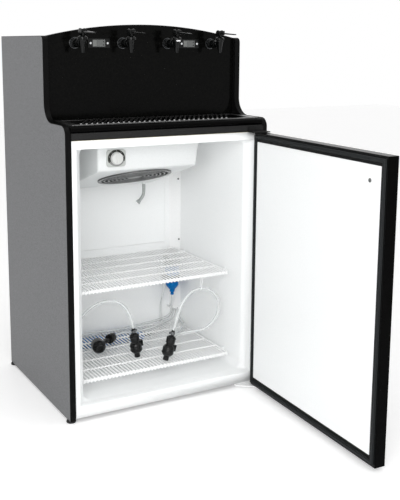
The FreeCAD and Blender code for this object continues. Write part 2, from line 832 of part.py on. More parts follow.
# Taps: each shank goes through the board and is held by a nut on both sides
spout_y = backsplash_front - size["tap_reach"]
shank_radius = 9
lever_z = 1027
tongue_radius = 6.5
nuts = []
for number, x in enumerate(tap_x, start=1):
    tap_z = size["tap_height"]
    bore = rod((x, backsplash_front - 30, tap_z), (0, 1, 0), shank_radius + 0.15, 80)
    front_nut = join([
        rod((x, backsplash_front - 0.1, tap_z), (0, -1, 0), 19, 2),
        rod((x, backsplash_front - 2, tap_z), (0, -1, 0), 13.5, 8),
    ])
    rear_nut = doc.addObject("Part::Prism", "Nut")
    rear_nut.Polygon = 6
    rear_nut.Circumradius = 16
    rear_nut.Height = 8
    place(rear_nut, x, backsplash_back + 8.2, tap_z, FreeCAD.Rotation(UP, V(0, -1, 0)))
    nuts.append(cut(front_nut, [bore]))
    nuts.append(cut(rear_nut, [bore]))

    valve = turned("", [
        (2.5, 972), (4.5, 972), (6, 982), (9, 1000), (11, 1001.5), (11, 1006), (13.5, 1008), (13.5, 1014),
        (8, 1017), (0, 1017), (0, 1000), (2.5, 1000),
    ])
    place(valve, x, spout_y, 0)
    shank = rod((x, backsplash_back + 22, tap_z), (0, -1, 0), shank_radius, backsplash_back + 22 - spout_y)
    barrel = cone((x, backsplash_front - 10.2, tap_z), (0, -1, 0), 12.5, 10.5, size["tap_reach"] - 16)
    tongue = join([
        box(x - 3, spout_y - tongue_radius, 1012, 6, 2 * tongue_radius, lever_z - 1012),
        rod((x - 3, spout_y, lever_z), (1, 0, 0), tongue_radius, 6),
        rod((x - 8.5, spout_y, lever_z), (1, 0, 0), 2.5, 17),
    ])
    outlet = rod((x, spout_y, 960), (0, 0, 1), 2.5, 40)
    cut(join([valve, shank, barrel, tongue]), [outlet], "tap_%d_body" % number)

    cheeks = [rod((3.3, 0, 0), (1, 0, 0), 9, 5.7), rod((-9, 0, 0), (1, 0, 0), 9, 5.7)]
    hood = box(-9, -13, -5, 18, 5.4, 12)
    blade = box(0, 0, 0, 10, 72, 4.4)
    droop = FreeCAD.Rotation(RIGHT, 4)
    corner = V(-5, 0, 0) + droop.multVec(V(0, -82, -1.2))
    place(blade, corner.x, corner.y, corner.z, droop)
    handle = cut(join(cheeks + [hood, blade]), [
        rod((-20, 0, 0), (1, 0, 0), 2.55, 40),
        box(-3.3, -9.7, -12, 6.6, 40, 24),
    ], "tap_%d_lever" % number)
    place(handle, x, spout_y, lever_z)
group(nuts, "tap_nuts")


# Connectors that plug into the bottles, drawn upright
def connector(label, foot, direction):
    stem = turned("", [
        (0, 0), (8.5, 0), (8.5, 12), (12, 14), (17, 20), (17, 38), (14, 44), (11, 46), (11, 50), (13.5, 52),
        (13.5, 68), (9, 73), (5, 74), (5, 90), (0, 90),
    ])
    tab = box(8, -5, 30, 14, 10, 18)
    plug = join([stem, tab], label)
    place(plug, *foot, FreeCAD.Rotation(UP, V(*direction)))
    return V(*foot) + V(*direction).normalize() * 90


middle_end = connector("connector_middle", (-27, front + 167, 84.2), (-0.149, 0, 0.989))
right_end = connector("connector_right", (31, front + 99, 85.4), (0.292, 0, 0.957))

# The left one lies on its side: its wide body faces the front, and the line leaves from a side arm
lying_radius = 20
lying_z = size["lower_shelf_top"] + 0.4 + lying_radius
lying_body = turned("", [
    (6, 0), (11, 0), (11, 8), (15, 11), (lying_radius, 18), (lying_radius, 44), (15, 52),
    (0, 54), (0, 8), (6, 8),
])
place(lying_body, -118, front + 229.6, lying_z, FreeCAD.Rotation(UP, V(0.19, 0.98, 0)))
arm = turned("", [(0, 0), (6.5, 0), (6.5, 62), (14, 64), (14, 84), (9, 88), (5, 89), (5, 100), (0, 100)])
arm_start = V(-112, front + 258, lying_z)
arm_way = V(0.8, 0.6, 0)
place(arm, *arm_start, FreeCAD.Rotation(UP, arm_way))
join([lying_body, arm], "connector_left")
left_end = arm_start + arm_way * 100


# Free lines: straight runs joined by the largest arcs that their runs allow
def line(label, diameter, points):
    route = [V(*point) for point in points]
    edges = []
    radii = []
    at = route[0]
    for before, corner_point, after in zip(route, route[1:], route[2:]):
        way_in = (corner_point - before).normalize()
        way_out = (after - corner_point).normalize()
        turn = way_in.getAngle(way_out)
        run = min((corner_point - before).Length, (after - corner_point).Length)
        reach = 0.45 * run
        radius = reach / math.tan(turn / 2)
        start = corner_point - way_in * reach
        end = corner_point + way_out * reach
        inward = (way_out - way_in).normalize()
        middle = corner_point + inward * (radius / math.cos(turn / 2) - radius)
        edges.append(Part.LineSegment(at, start).toShape())
        edges.append(Part.Arc(start, middle, end).toShape())
        radii.append(round(radius / diameter, 1))
        at = end
    edges.append(Part.LineSegment(at, route[-1]).toShape())
    path = Part.Wire(edges)
    ring = Part.Wire(Part.Circle(route[0], route[1] - route[0], diameter / 2).toShape())
    tube = path.makePipeShell([ring], True, False)
    section = math.pi * diameter ** 2 / 4
    error = tube.Volume / (section * path.Length) - 1
    longest = max((b - a).Length for a, b in zip(route, route[1:]))
    print("%s: %.0f long, radii in diameters %s, longest run %.0f, volume error %.4f"
          % (label, path.Length, radii, longest, error))
    return feature(tube, label)


tube = size["tube_diameter"]
lie = size["lower_shelf_top"] + 0.3 + tube / 2
line("product_line_middle", tube, [
    tuple(middle_end), (-48, front + 168, 222), (-85, front + 176, 262), (-140, front + 190, 262),
    (-188, front + 200, 226), (-214, front + 212, 170), (-222, front + 235, 118), (-220, front + 275, 90),
    (-214, front + 330, lie), (-190, front + 385, lie), (-130, front + 410, 88), (-55, front + 416, lie),
    (30, front + 409, lie), (115, front + 415, 88), (182, front + 421, 92), (234.2, front + 435.6, 97),
    (234.2, front + 435.6, 150),
])
line("product_line_left", tube, [
    tuple(left_end), (0, front + 342, lying_z - 2), (42, front + 357, lie + 3), (92, front + 366, lie),
    (144, front + 382, lie), (192, front + 408, lie), (240.4, front + 429.6, 88),
    (240.4, front + 429.6, 143),
])
line("product_line_right", tube, [
    tuple(right_end), (69, front + 99, 209), (88, front + 99, 258), (128, front + 100, 287),
    (178, front + 103, 282), (218, front + 108, 242), (218, front + 114, 186), (178, front + 122, 146),
    (122, front + 134, 146), (92, front + 170, 128), (104, front + 218, 100), (146, front + 262, lie),
    (196, front + 300, lie), (234, front + 352, lie), (246.6, front + 423.4, 90),
    (246.6, front + 423.4, 146),
])
line("gas_line_left", 6, [
    (port_x, filter_y, 236), (184, front + 401, 196), (183, front + 424, 150), (188, front + 434.5, 108),
    (186, front + 431, 62), (160, front + 391.5, floor_z + cylinder_radius),
    tuple(cylinder_end + along * 20),
])
line("gas_line_right", 6, [
    (filter_x, filter_y, 179), (214, front + 401, 160), (216, front + 411, 141), (218, front + 425, 130),
    (218, front + 439.9, 130),
])
line("drain_hose", drain_diameter, [
    (drain_x, drain_y, drain_z), (90.5, drain_y, 534), (70, drain_y, 508),
])

# Check every object and write the parts
doc.recompute()
for thing in doc.Objects:
    if "Invalid" in thing.State or "Error" in thing.State:
        raise RuntimeError("%s (%s) did not build: %s" % (thing.Label, thing.Name, thing.State))
names = [thing.Label for thing in parts]
if len(set(names)) != len(names):
    raise RuntimeError("two parts share a name")
for thing in parts:
    shape = thing.Shape
    if shape.isNull() or not shape.isValid() or not shape.Solids:
        raise RuntimeError(thing.Label + " has no valid solid")
    shape.exportStep("parts/%s.step" % thing.Label)
print(len(parts), "parts written")
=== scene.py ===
import json
import math

import bmesh
import bpy
from mathutils import Matrix, Vector


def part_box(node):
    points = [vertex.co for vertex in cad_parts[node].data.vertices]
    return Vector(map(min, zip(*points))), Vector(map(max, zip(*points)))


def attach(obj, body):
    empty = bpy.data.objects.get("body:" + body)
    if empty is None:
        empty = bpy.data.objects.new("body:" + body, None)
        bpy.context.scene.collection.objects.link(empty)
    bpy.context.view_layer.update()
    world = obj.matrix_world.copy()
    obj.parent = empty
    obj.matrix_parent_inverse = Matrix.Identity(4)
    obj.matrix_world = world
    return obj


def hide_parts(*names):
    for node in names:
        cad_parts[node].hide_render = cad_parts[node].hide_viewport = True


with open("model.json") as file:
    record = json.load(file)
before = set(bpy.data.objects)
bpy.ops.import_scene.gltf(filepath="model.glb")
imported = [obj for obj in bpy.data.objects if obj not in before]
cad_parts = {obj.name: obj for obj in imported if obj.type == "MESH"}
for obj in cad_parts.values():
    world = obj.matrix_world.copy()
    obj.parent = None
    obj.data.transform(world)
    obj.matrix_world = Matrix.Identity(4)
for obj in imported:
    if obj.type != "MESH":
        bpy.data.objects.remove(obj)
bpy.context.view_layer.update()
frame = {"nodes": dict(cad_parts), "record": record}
cad = frame["nodes"]
print("frame loaded,", len(cad), "nodes")

# The photograph's camera, fitted to the cabinet's own edges. Metres and degrees.
camera = {
    "place": (-1.0719, -2.2559, 0.9939),
    "yaw": 29.51,
    "pitch": 9.73,
    "roll": 0.35,
    "lens": 61.32,
    "shift": (0.0152, -0.1178),
}

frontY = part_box("edge_trims")[0].y
bodyOf = {node: body for body, nodes in frame["record"]["behaviour"]["bodies"].items() for node in nodes}
finishes = {}
sockets = {"rough": "Roughness", "metal": "Metallic", "shine": "Specular IOR Level", "alpha": "Alpha"}
grainSpread = (0.35, 0.65)  # where a grain's two colours start, on its own scale of 0 to 1
edgeAngle = 35  # degrees: folds sharper than this are edges
mergeGap = 1e-6
samePlane = 1e-5
soften = {"offset_type": "OFFSET", "profile": 0.5, "affect": "EDGES", "material": -1, "clamp_overlap": True}


# Small helpers
def at(x, depth, z):
    # a place in millimetres: x to the right, depth behind the cabinet's front, z above the floor
    return Vector((x / 1000, frontY + depth / 1000, z / 1000))


def mm(*values):
    # millimetres, as a vector in metres
    return Vector([value / 1000 for value in values])


def colour(hexColour, alpha=1.0):
    # sRGB hex to the linear values that Blender works in
    channels = [int(hexColour[i:i + 2], 16) / 255 for i in (1, 3, 5)]
    return tuple(c / 12.92 if c <= 0.04045 else ((c + 0.055) / 1.055) ** 2.4 for c in channels) + (alpha,)


def addNode(tree, kind, values=None, links=None, **settings):
    # one node, with its settings, its socket values and what feeds it
    node = tree.nodes.new(kind)
    for name, value in settings.items():
        setattr(node, name, value)
    for name, value in (values or {}).items():
        node.inputs[name].default_value = value
    for name, source in (links or {}).items():
        tree.links.new(source, node.inputs[name])
    return node


def newFinish(name, **values):
    # a material with its shader set up; the caller adds the pattern
    material = bpy.data.materials.new(name)
    material.use_nodes = True
    tree = material.node_tree
    tree.nodes.clear()
    shader = addNode(tree, "ShaderNodeBsdfPrincipled")
    for key, value in values.items():
        shader.inputs[sockets[key]].default_value = value
    addNode(tree, "ShaderNodeOutputMaterial", links={"Surface": shader.outputs["BSDF"]})
    where = addNode(tree, "ShaderNodeTexCoord").outputs["Object"]
    finishes[name] = material
    return tree, shader, where


def speckle(tree, where, size, low, high, stretch=(1, 1, 1), detail=3.0):
    # a two-colour grain whose spots are about that many millimetres across
    placed = addNode(tree, "ShaderNodeMapping", {"Scale": stretch}, {"Vector": where})
    grain = addNode(tree, "ShaderNodeTexNoise", {"Scale": 1000 / size, "Detail": detail},
                    {"Vector": placed.outputs["Vector"]})
    ramp = addNode(tree, "ShaderNodeValToRGB", links={"Fac": grain.outputs["Fac"]})
    ends = ramp.color_ramp.elements
    ends[0].position, ends[1].position = grainSpread
    ends[0].color, ends[1].color = low, high
    return grain, ramp


def relief(tree, shader, height, depth, strength):
    # surface relief of that many millimetres
    bump = addNode(tree, "ShaderNodeBump", {"Strength": strength, "Distance": depth / 1000},
                   {"Height": height})
    tree.links.new(bump.outputs["Normal"], shader.inputs["Normal"])


def roughness(tree, shader, height, low, high):
    # gloss that varies with the grain
    spread = addNode(tree, "ShaderNodeMapRange", {"To Min": low, "To Max": high}, {"Value": height})
    tree.links.new(spread.outputs["Result"], shader.inputs["Roughness"])


# Finishes
panelInside = 290.2  # the side panels' inner faces lie just inside this, either side of the middle


def dress(tree, shader, grain, paint, gloss, depth, strength):
    # what every finish ends with: its colour, a gloss that varies with the grain, and its relief
    tree.links.new(paint, shader.inputs["Base Color"])
    roughness(tree, shader, grain.outputs["Fac"], *gloss)
    relief(tree, shader, grain.outputs["Fac"], depth, strength)


def panelLaminate():
    # high-pressure laminate with a fine pebble: mid grey with a broad soft sheen outside, dull black inside
    tree, shader, where = newFinish("panelLaminate", rough=0.42, shine=0.3)
    grain, ramp = speckle(tree, where, 2.2, colour("#515254"), colour("#757678"), detail=6)
    across = addNode(tree, "ShaderNodeSeparateXYZ", links={"Vector": where}).outputs["X"]
    fromMiddle = addNode(tree, "ShaderNodeMath", links={0: across}, operation="ABSOLUTE").outputs[0]
    inside = addNode(tree, "ShaderNodeMath", {1: panelInside / 1000}, {0: fromMiddle},
                     operation="LESS_THAN").outputs[0]
    faced = addNode(tree, "ShaderNodeMix", {"B": colour("#060606")},
                    {"Factor": inside, "A": ramp.outputs["Color"]}, data_type="RGBA")
    dress(tree, shader, grain, faced.outputs["Result"], (0.34, 0.5), 0.12, 0.35)


def blackLaminate():
    # the same board faced in semi-gloss black: it mirrors the taps as dim blurred shapes
    tree, shader, where = newFinish("blackLaminate", rough=0.14, shine=0.06)
    grain, ramp = speckle(tree, where, 5, colour("#040404"), colour("#090908"))
    dress(tree, shader, grain, ramp.outputs["Color"], (0.1, 0.19), 0.03, 0.2)


def edgeStrip():
    # extruded PVC edge strip: dark, satin, faint lines along its length
    tree, shader, where = newFinish("edgeStrip", rough=0.36, shine=0.05)
    grain, ramp = speckle(tree, where, 3, colour("#080808"), colour("#0f0f0f"), stretch=(6, 0.4, 0.4))
    dress(tree, shader, grain, ramp.outputs["Color"], (0.28, 0.44), 0.05, 0.3)


def mouldedPlastic(name, low, high, rough, grainSize=1.2, depth=0.04, **values):
    # injection-moulded plastic with the fine spark texture of its mould
    tree, shader, where = newFinish(name, rough=rough, **values)
    grain, ramp = speckle(tree, where, grainSize, colour(low), colour(high), detail=4)
    dress(tree, shader, grain, ramp.outputs["Color"], (max(rough - 0.07, 0.02), rough + 0.07), depth, 0.3)


def sheetMetal(name, low, high, rough, metal, grainSize, shine=0.5, stretch=(1, 1, 1)):
    # metal with a fine grain, or its coat of enamel or plastic where metal is 0
    tree, shader, where = newFinish(name, rough=rough, metal=metal, shine=shine)
    grain, ramp = speckle(tree, where, grainSize, colour(low), colour(high), stretch=stretch, detail=5)
    dress(tree, shader, grain, ramp.outputs["Color"], (max(rough - 0.08, 0.03), rough + 0.08), 0.03, 0.25)


print("finishes")
panelLaminate()
blackLaminate()
edgeStrip()
# laminated board: a near-black satin shelf that hardly mirrors the taps
mouldedPlastic("ledgeBlack", "#030303", "#060606", 0.26, 2, 0.02, shine=0.03)
# coated steel: a matt black tray, a shade lighter than the board round it
mouldedPlastic("trayBlack", "#0a0a0a", "#101010", 0.35, 2.5, 0.04, shine=0.15)
# stainless bars: grey glints over the dark tray
sheetMetal("grilleBars", "#454545", "#868686", 0.3, 1.0, 2)
# powder-coated steel: flat black with a fine pebble
sheetMetal("coverBlack", "#0e0e0e", "#151515", 0.42, 0.0, 0.8, 0.2)
# nylon: dull black feet
mouldedPlastic("glidePlastic", "#121212", "#1a1a1a", 0.5, shine=0.3)
# polystyrene: the cooler's dull dark grey top
mouldedPlastic("worktopGrey", "#1f1f1f", "#272727", 0.5, 1.5, 0.04, shine=0.12)
# polyurethane foam: cream with open cells, seen only if the case is taken off
mouldedPlastic("foam", "#d8cda2", "#e6dcb8", 0.9, 1.8, 0.3)
# vacuum-formed polystyrene: a bright cavity with a soft gloss
mouldedPlastic("linerWhite", "#f8fafa", "#fcfdfd", 0.36, 3, 0.03, shine=0.25)
# extruded PVC: a little glossier than the liner behind it
mouldedPlastic("chaseWhite", "#f8f9f9", "#fcfcfc", 0.3, 3, 0.03)
# moulded ABS, with painted shade: a shade greyer than the liner, for the dimmer light deep in the cavity
mouldedPlastic("housingShadedWhite", "#dddfdf", "#e4e6e6", 0.36, 2, 0.03, shine=0.25)
# moulded nylon: the fan's dark grey grille and blades
mouldedPlastic("grilleGrey", "#444545", "#525353", 0.3, shine=0.5)
# enamelled steel: smooth black shells of the motor and the compressor
sheetMetal("enamelBlack", "#131313", "#1c1c1c", 0.3, 0.0, 4, 0.3)
# mill aluminium: bright fins with rolled lines
sheetMetal("millAluminium", "#b9bcbf", "#d0d2d4", 0.35, 1.0, 2, stretch=(1, 1, 6))
# printed ABS plate and its two scale inks: light grey, near black and mid grey
mouldedPlastic("dialGrey", "#aeb1ae", "#bcbfbc", 0.4)
mouldedPlastic("dialDark", "#2f312e", "#3c3e3a", 0.45, shine=0.15)
mouldedPlastic("dialMid", "#868786", "#929392", 0.45, shine=0.3)
# moulded ABS: the off-white knob and the numbers
mouldedPlastic("knobWhite", "#cdcecc", "#d6d7d5", 0.3, shine=0.3)
# plastic-coated wire, and the painted lower hinge: white, with a soft highlight
sheetMetal("coatedWhite", "#f9fafa", "#fdfdfd", 0.3, 0.0, 2)
# soft PVC: the drain's warm grey hose
mouldedPlastic("hoseGrey", "#9a9f9d", "#a8adab", 0.34, 4)
# soft plastic line: pale and satin
mouldedPlastic("gasLineWhite", "#dde0e0", "#e8eaea", 0.36, 4)
# clear PVC: half seen through, and milky at its edges
mouldedPlastic("clearTube", "#e4e8e8", "#eef1f1", 0.2, 9, 0.02, alpha=0.5)
# enamelled steel: saturated blue with a dull highlight
sheetMetal("enamelBlue", "#0066ac", "#0676c2", 0.28, 0.0, 5, 0.12)
# moulded acetal: the black of the fittings, with a clear highlight
mouldedPlastic("fittingBlack", "#0b0c0c", "#131414", 0.24, shine=0.25)
# gloss-painted steel: the door's deep black, with sharp but faint reflections
sheetMetal("doorBlack", "#030303", "#050505", 0.16, 0.0, 20, 0.025)
# sealed foam: the door core's matt black edge
mouldedPlastic("frameBlack", "#0a0b0b", "#101111", 0.4, 2, 0.03, shine=0.12)
# soft PVC gasket: dull charcoal folds
mouldedPlastic("gasketRubber", "#1d1f20", "#282a2b", 0.5, 2, 0.03, shine=0.12)
# acrylic windows and plain screw heads: smooth grey, and a paler strip on each window
mouldedPlastic("screenGrey", "#545655", "#626463", 0.16, 2.2)
mouldedPlastic("screenPale", "#6c6e6c", "#787a78", 0.16, 2)
# chromed steel: mirror-bright screw heads
sheetMetal("brightChrome", "#d6d8da", "#e8eaeb", 0.1, 1.0, 6)
# polished moulded plastic: the taps' glossy black
mouldedPlastic("tapBlack", "#050606", "#0a0b0b", 0.13, 2, 0.02, shine=0.2)
# plain steel: dim grey rings and clamps
sheetMetal("nutSteel", "#5c5e60", "#6c6e70", 0.35, 1.0, 6)

nodeFinish = {
    "panelLaminate": ["left_side_panel", "right_side_panel"],
    "edgeStrip": ["edge_trims"],
    "blackLaminate": ["backsplash_panel", "tower_top_panel"],
    "ledgeBlack": ["ledge_board"],
    "trayBlack": ["drip_tray"],
    "grilleBars": ["drip_grille"],
    "coverBlack": ["tower_rear_cover", "fridge_case", "top_hinge"],
    "glidePlastic": ["floor_glides"],
    "worktopGrey": ["fridge_worktop"],
    "foam": ["insulation"],
    "frameBlack": ["door_core"],
    "linerWhite": ["inner_liner", "air_duct_panel", "door_inner_panel", "shelf_supports"],
    "chaseWhite": ["line_chase"],
    "housingShadedWhite": ["evaporator_housing"],
    "grilleGrey": ["fan_grille", "fan_blade"],
    "enamelBlack": ["fan_motor", "compressor"],
    "millAluminium": ["evaporator_coil", "condenser"],
    "dialGrey": ["thermostat_plate"],
    "knobWhite": ["thermostat_knob"],
    "coatedWhite": ["upper_shelf", "lower_shelf", "bottom_hinge"],
    "fittingBlack": ["power_inlet", "gas_filter_body", "connector_left", "connector_middle",
                     "connector_right"],
    "hoseGrey": ["drain_hose"],
    "gasLineWhite": ["gas_line_left", "gas_line_right"],
    "enamelBlue": ["gas_cylinder", "gas_filter_bowl"],
    "clearTube": ["product_line_left", "product_line_middle", "product_line_right"],
    "doorBlack": ["door_skin"],
    "gasketRubber": ["door_gasket"],
    "screenGrey": ["display_windows"],
    "brightChrome": ["display_screws", "tap_nuts"],
    "tapBlack": ["display_bezels", "door_bushes"]
                + ["tap_%d_%s" % (number, part) for number in range(1, 5) for part in ("body", "lever")],
}
for name, nodes in nodeFinish.items():
    for node in nodes:
        cad[node].data.materials.clear()
        cad[node].data.materials.append(finishes[name])


# Camera
yaw = math.radians(camera["yaw"])
pitch = math.radians(camera["pitch"])
roll = math.radians(camera["roll"])
forward = Vector((math.sin(yaw) * math.cos(pitch), math.cos(yaw) * math.cos(pitch), -math.sin(pitch)))
side = Vector((math.cos(yaw), -math.sin(yaw), 0))
over = side.cross(forward)
rolledSide = side * math.cos(roll) + over * math.sin(roll)
rolledOver = over * math.cos(roll) - side * math.sin(roll)
lens = bpy.data.cameras.new("photoCamera")
lens.lens = camera["lens"]
lens.sensor_width = 36
lens.sensor_fit = "AUTO"
lens.shift_x, lens.shift_y = camera["shift"]
lens.clip_end = 50
view = bpy.data.objects.new("photoCamera", lens)
bpy.context.scene.collection.objects.link(view)
turn = Matrix((rolledSide, rolledOver, -forward)).transposed().to_4x4()
view.matrix_world = Matrix.Translation(camera["place"]) @ turn
bpy.context.scene.camera = view
print("camera")


# Free lines, with the construction's own route points
def addCord(name, points, diameter, finish, node):
    curve = bpy.data.curves.new(name, "CURVE")
    curve.dimensions = "3D"
    curve.bevel_depth = diameter / 2
    curve.bevel_resolution = 4
    curve.resolution_u = 10
    curve.use_fill_caps = True
    spline = curve.splines.new("NURBS")
    spline.points.add(len(points) - 1)
    for point, place in zip(spline.points, points):
        point.co = (*place, 1)
    spline.order_u = 3
    spline.use_endpoint_u = True
    curve.materials.append(finishes[finish])
    piece = bpy.data.objects.new(name, curve)
    bpy.context.scene.collection.objects.link(piece)
    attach(piece, "root")
    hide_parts(node)
    return piece


lineRoutes = {
    "middle": [(-40.4, 167, 173.2), (-48, 168, 222), (-85, 176, 262), (-140, 190, 262), (-188, 200, 226),
               (-214, 212, 170), (-222, 235, 118), (-220, 275, 90), (-214, 330, 86.3), (-190, 385, 86.3),
               (-130, 410, 88), (-55, 416, 86.3), (30, 409, 86.3), (115, 415, 88), (182, 421, 92),
               (234.2, 435.6, 97), (234.2, 435.6, 150)],
    "left": [(-32, 318, 102.4), (0, 342, 100.4), (42, 357, 89.3), (92, 366, 86.3), (144, 382, 86.3),
             (192, 408, 86.3), (240.4, 429.6, 88), (240.4, 429.6, 143)],
    "right": [(57.27, 99, 171.5), (69, 99, 209), (88, 99, 258), (128, 100, 287), (178, 103, 282),
              (218, 108, 242), (218, 114, 186), (178, 122, 146), (122, 134, 146), (92, 170, 128),
              (104, 218, 100), (146, 262, 86.3), (196, 300, 86.3), (234, 352, 86.3), (246.6, 423.4, 90),
              (246.6, 423.4, 146)],
    "gasLeft": [(184, 401, 236), (184, 401, 196), (183, 424, 150), (188, 434.5, 108), (186, 431, 62),
                (160, 391.5, 59.7), (129.93, 390.37, 59.7)],
    "gasRight": [(214, 401, 179), (214, 401, 160), (216, 411, 141), (218, 425, 130), (218, 439.9, 130)],
    "drain": [(91, 360, 566), (91.5, 360, 545), (88, 360, 524), (70, 360, 508)],
}
lineBore = {"product": 0.008, "gas": 0.006, "drain": 0.01}
for key in ("left", "middle", "right"):
    # each starts where it leaves the chase and runs out to its connector
    route = [at(*p) for p in reversed(lineRoutes[key])]
    addCord("productLine" + key.capitalize(), route, lineBore["product"], "clearTube",
                                "product_line_" + key)
for key, node in (("gasLeft", "gas_line_left"), ("gasRight", "gas_line_right")):
    route = [at(*p) for p in lineRoutes[key]]
    line = addCord(key + "Line", route, lineBore["gas"], "gasLineWhite", node)
route = [at(*p) for p in lineRoutes["drain"]]
hose = addCord("drainHose", route, lineBore["drain"], "hoseGrey", "drain_hose")
print("lines")


# Making and placing pieces
def placed(name, data, node, hide):
    # it rides with its node's body, and hides the node where it stands for it
    piece = bpy.data.objects.new(name, data)
    bpy.context.scene.collection.objects.link(piece)
    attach(piece, bodyOf[node])
    if hide:
        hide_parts(node)
    return piece


def addPiece(name, bm, finish, node, hide=True, angle=edgeAngle):
    mesh = bpy.data.meshes.new(name)
    bm.to_mesh(mesh)
    bm.free()
    mesh.shade_smooth()
    mesh.set_sharp_from_angle(angle=math.radians(angle))
    mesh.materials.append(finishes[finish])
    return placed(name, mesh, node, hide)


def addBevel(piece, width, segments=2):
    soft = piece.modifiers.new("edges", "BEVEL")
    soft.width = width / 1000
    soft.segments = segments
    soft.limit_method = "ANGLE"
    soft.angle_limit = math.radians(edgeAngle)
    soft.harden_normals = False
    return piece


def cadCopy(node, flatten=True):
    # the construction's own mesh, joined up, with its flat faces made whole
    bm = bmesh.new()
    bm.from_mesh(cad[node].data)
    bmesh.ops.remove_doubles(bm, verts=bm.verts, dist=mergeGap)
    if flatten:
        bmesh.ops.dissolve_limit(bm, angle_limit=math.radians(1), verts=bm.verts, edges=bm.edges)
    return bm


def roundedCopy(name, node, width, finish, segments=2):
    # the construction's own shape with its edges eased
    return addBevel(addPiece(name, cadCopy(node), finish, node), width, segments)


def addWires(name, runs, thickness, finish, node, hide=True, sides=2):
    # welded or bent round wire, one run of points each
    curve = bpy.data.curves.new(name, "CURVE")
    curve.dimensions = "3D"
    curve.bevel_depth = thickness / 2000
    curve.bevel_resolution = sides
    curve.use_fill_caps = True
    for run in runs:
        spline = curve.splines.new("POLY")
        spline.points.add(len(run) - 1)
        for point, place in zip(spline.points, run):
            point.co = (*place, 1)
        spline.use_smooth = True
    curve.materials.append(finishes[finish])
    return placed(name, curve, node, hide)


def spun(bm, profile, place, direction=(0, 0, 1), steps=32):
    # a turned shape: profile is (radius, height) in millimetres, spun about an axis through place
    before = set(bm.verts)
    verts = [bm.verts.new((radius / 1000, 0, height / 1000)) for radius, height in profile]
    edges = [bm.edges.new(pair) for pair in zip(verts, verts[1:])]
    bmesh.ops.spin(bm, geom=verts + edges, cent=(0, 0, 0), axis=(0, 0, 1), angle=math.tau, steps=steps,
                   use_merge=True)
    made = [v for v in bm.verts if v not in before]
    bmesh.ops.remove_doubles(bm, verts=made, dist=mergeGap)
    made = [v for v in bm.verts if v not in before]
    faces = list({f for v in made for f in v.link_faces})
    bmesh.ops.recalc_face_normals(bm, faces=faces)
    turnTo = Vector(direction).to_track_quat("Z", "Y").to_matrix().to_4x4()
    bmesh.ops.transform(bm, matrix=Matrix.Translation(place) @ turnTo, verts=made)
    return made


def block(bm, low, high):
    # a box between two corners
    size = Vector(high) - Vector(low)
    middle = (Vector(high) + Vector(low)) / 2
    form = Matrix.Translation(middle) @ Matrix.Diagonal((*size, 1))
    return bmesh.ops.create_cube(bm, size=1, matrix=form)["verts"]


def rod(bm, radius, length, place, direction, steps):
    # a plain solid cylinder
    spun(bm, [(0, 0), (radius, 0), (radius, length), (0, length)], place, direction, steps)


# Wire shelves: fine wires front to back over cross bars, bent down at the front over two lip bars
shelf = {"wires": 42, "wire": 4.5, "bar": 5.0, "rim": 4, "crossBars": 4, "lip": 12, "sink": 0.4, "wireIn": 4,
         "bend": 4, "bendCut": 1.2, "backIn": 3, "barIn": 2, "firstBar": 3.5, "barSpare": 6, "lipBarIn": 1,
         "lipBarTop": 5.5, "lipBarUp": 2.5, "weld": 0.3, "rimStart": 6, "rimBack": 1}


def addShelf(node):
    low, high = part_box(node)
    sizes = {key: value / 1000 for key, value in shelf.items()}
    top = high.z
    fineZ = top - sizes["wire"] / 2 - sizes["sink"]
    lipZ = top - sizes["lip"]
    near, far = low.y + sizes["wire"] / 2, high.y - sizes["backIn"]
    fine = []
    for index in range(shelf["wires"] + 1):
        x = low.x + sizes["wireIn"] + (high.x - low.x - 2 * sizes["wireIn"]) * index / shelf["wires"]
        fine.append([(x, far, fineZ), (x, near + sizes["bend"], fineZ),
                     (x, near + sizes["bendCut"], fineZ - sizes["bendCut"]), (x, near, fineZ - sizes["bend"]),
                     (x, near, lipZ)])
    addWires(node + "_wires", fine, shelf["wire"], "coatedWhite", node)
    heavy = []
    barZ = top - sizes["bar"] / 2
    left, right = low.x + sizes["barIn"], high.x - sizes["barIn"]
    for index in range(1, shelf["crossBars"] + 1):
        share = index / (shelf["crossBars"] + 1)
        y = low.y + sizes["firstBar"] + (high.y - low.y - sizes["barSpare"]) * share
        heavy.append([(left, y, barZ), (right, y, barZ)])
    lipY = near + sizes["wire"] / 2 + sizes["bar"] / 2 - sizes["weld"]
    for z in (top - sizes["lipBarTop"], lipZ + sizes["lipBarUp"]):
        heavy.append([(low.x + sizes["lipBarIn"], lipY, z), (high.x - sizes["lipBarIn"], lipY, z)])
    addWires(node + "_bars", heavy, shelf["bar"], "coatedWhite", node, hide=False)
    rimZ = top - sizes["rim"] / 2
    rim = [[(x, low.y + sizes["rimStart"], rimZ), (x, far, rimZ)] for x in (left, right)]
    rim.append([(left, far + sizes["rimBack"], rimZ), (right, far + sizes["rimBack"], rimZ)])
    addWires(node + "_rim", rim, shelf["rim"], "coatedWhite", node, hide=False, sides=3)


addShelf("upper_shelf")
addShelf("lower_shelf")
print("shelves")


# Cavity liner: one thermoformed skin with a flange, a flared mouth and soft inner corners
liner = {"mouth": 276, "wall": 251, "neck": 40, "back": 440, "floor": 42, "ceiling": 731, "corner": 20,
         "bend": 4, "lip": 2.5, "skin": 1.8, "edgeAngle": 40}


def rectangle(left, right, low, high):
    # the corners of an upright rectangle, in order round it
    return ((left, low), (right, low), (right, high), (left, high))


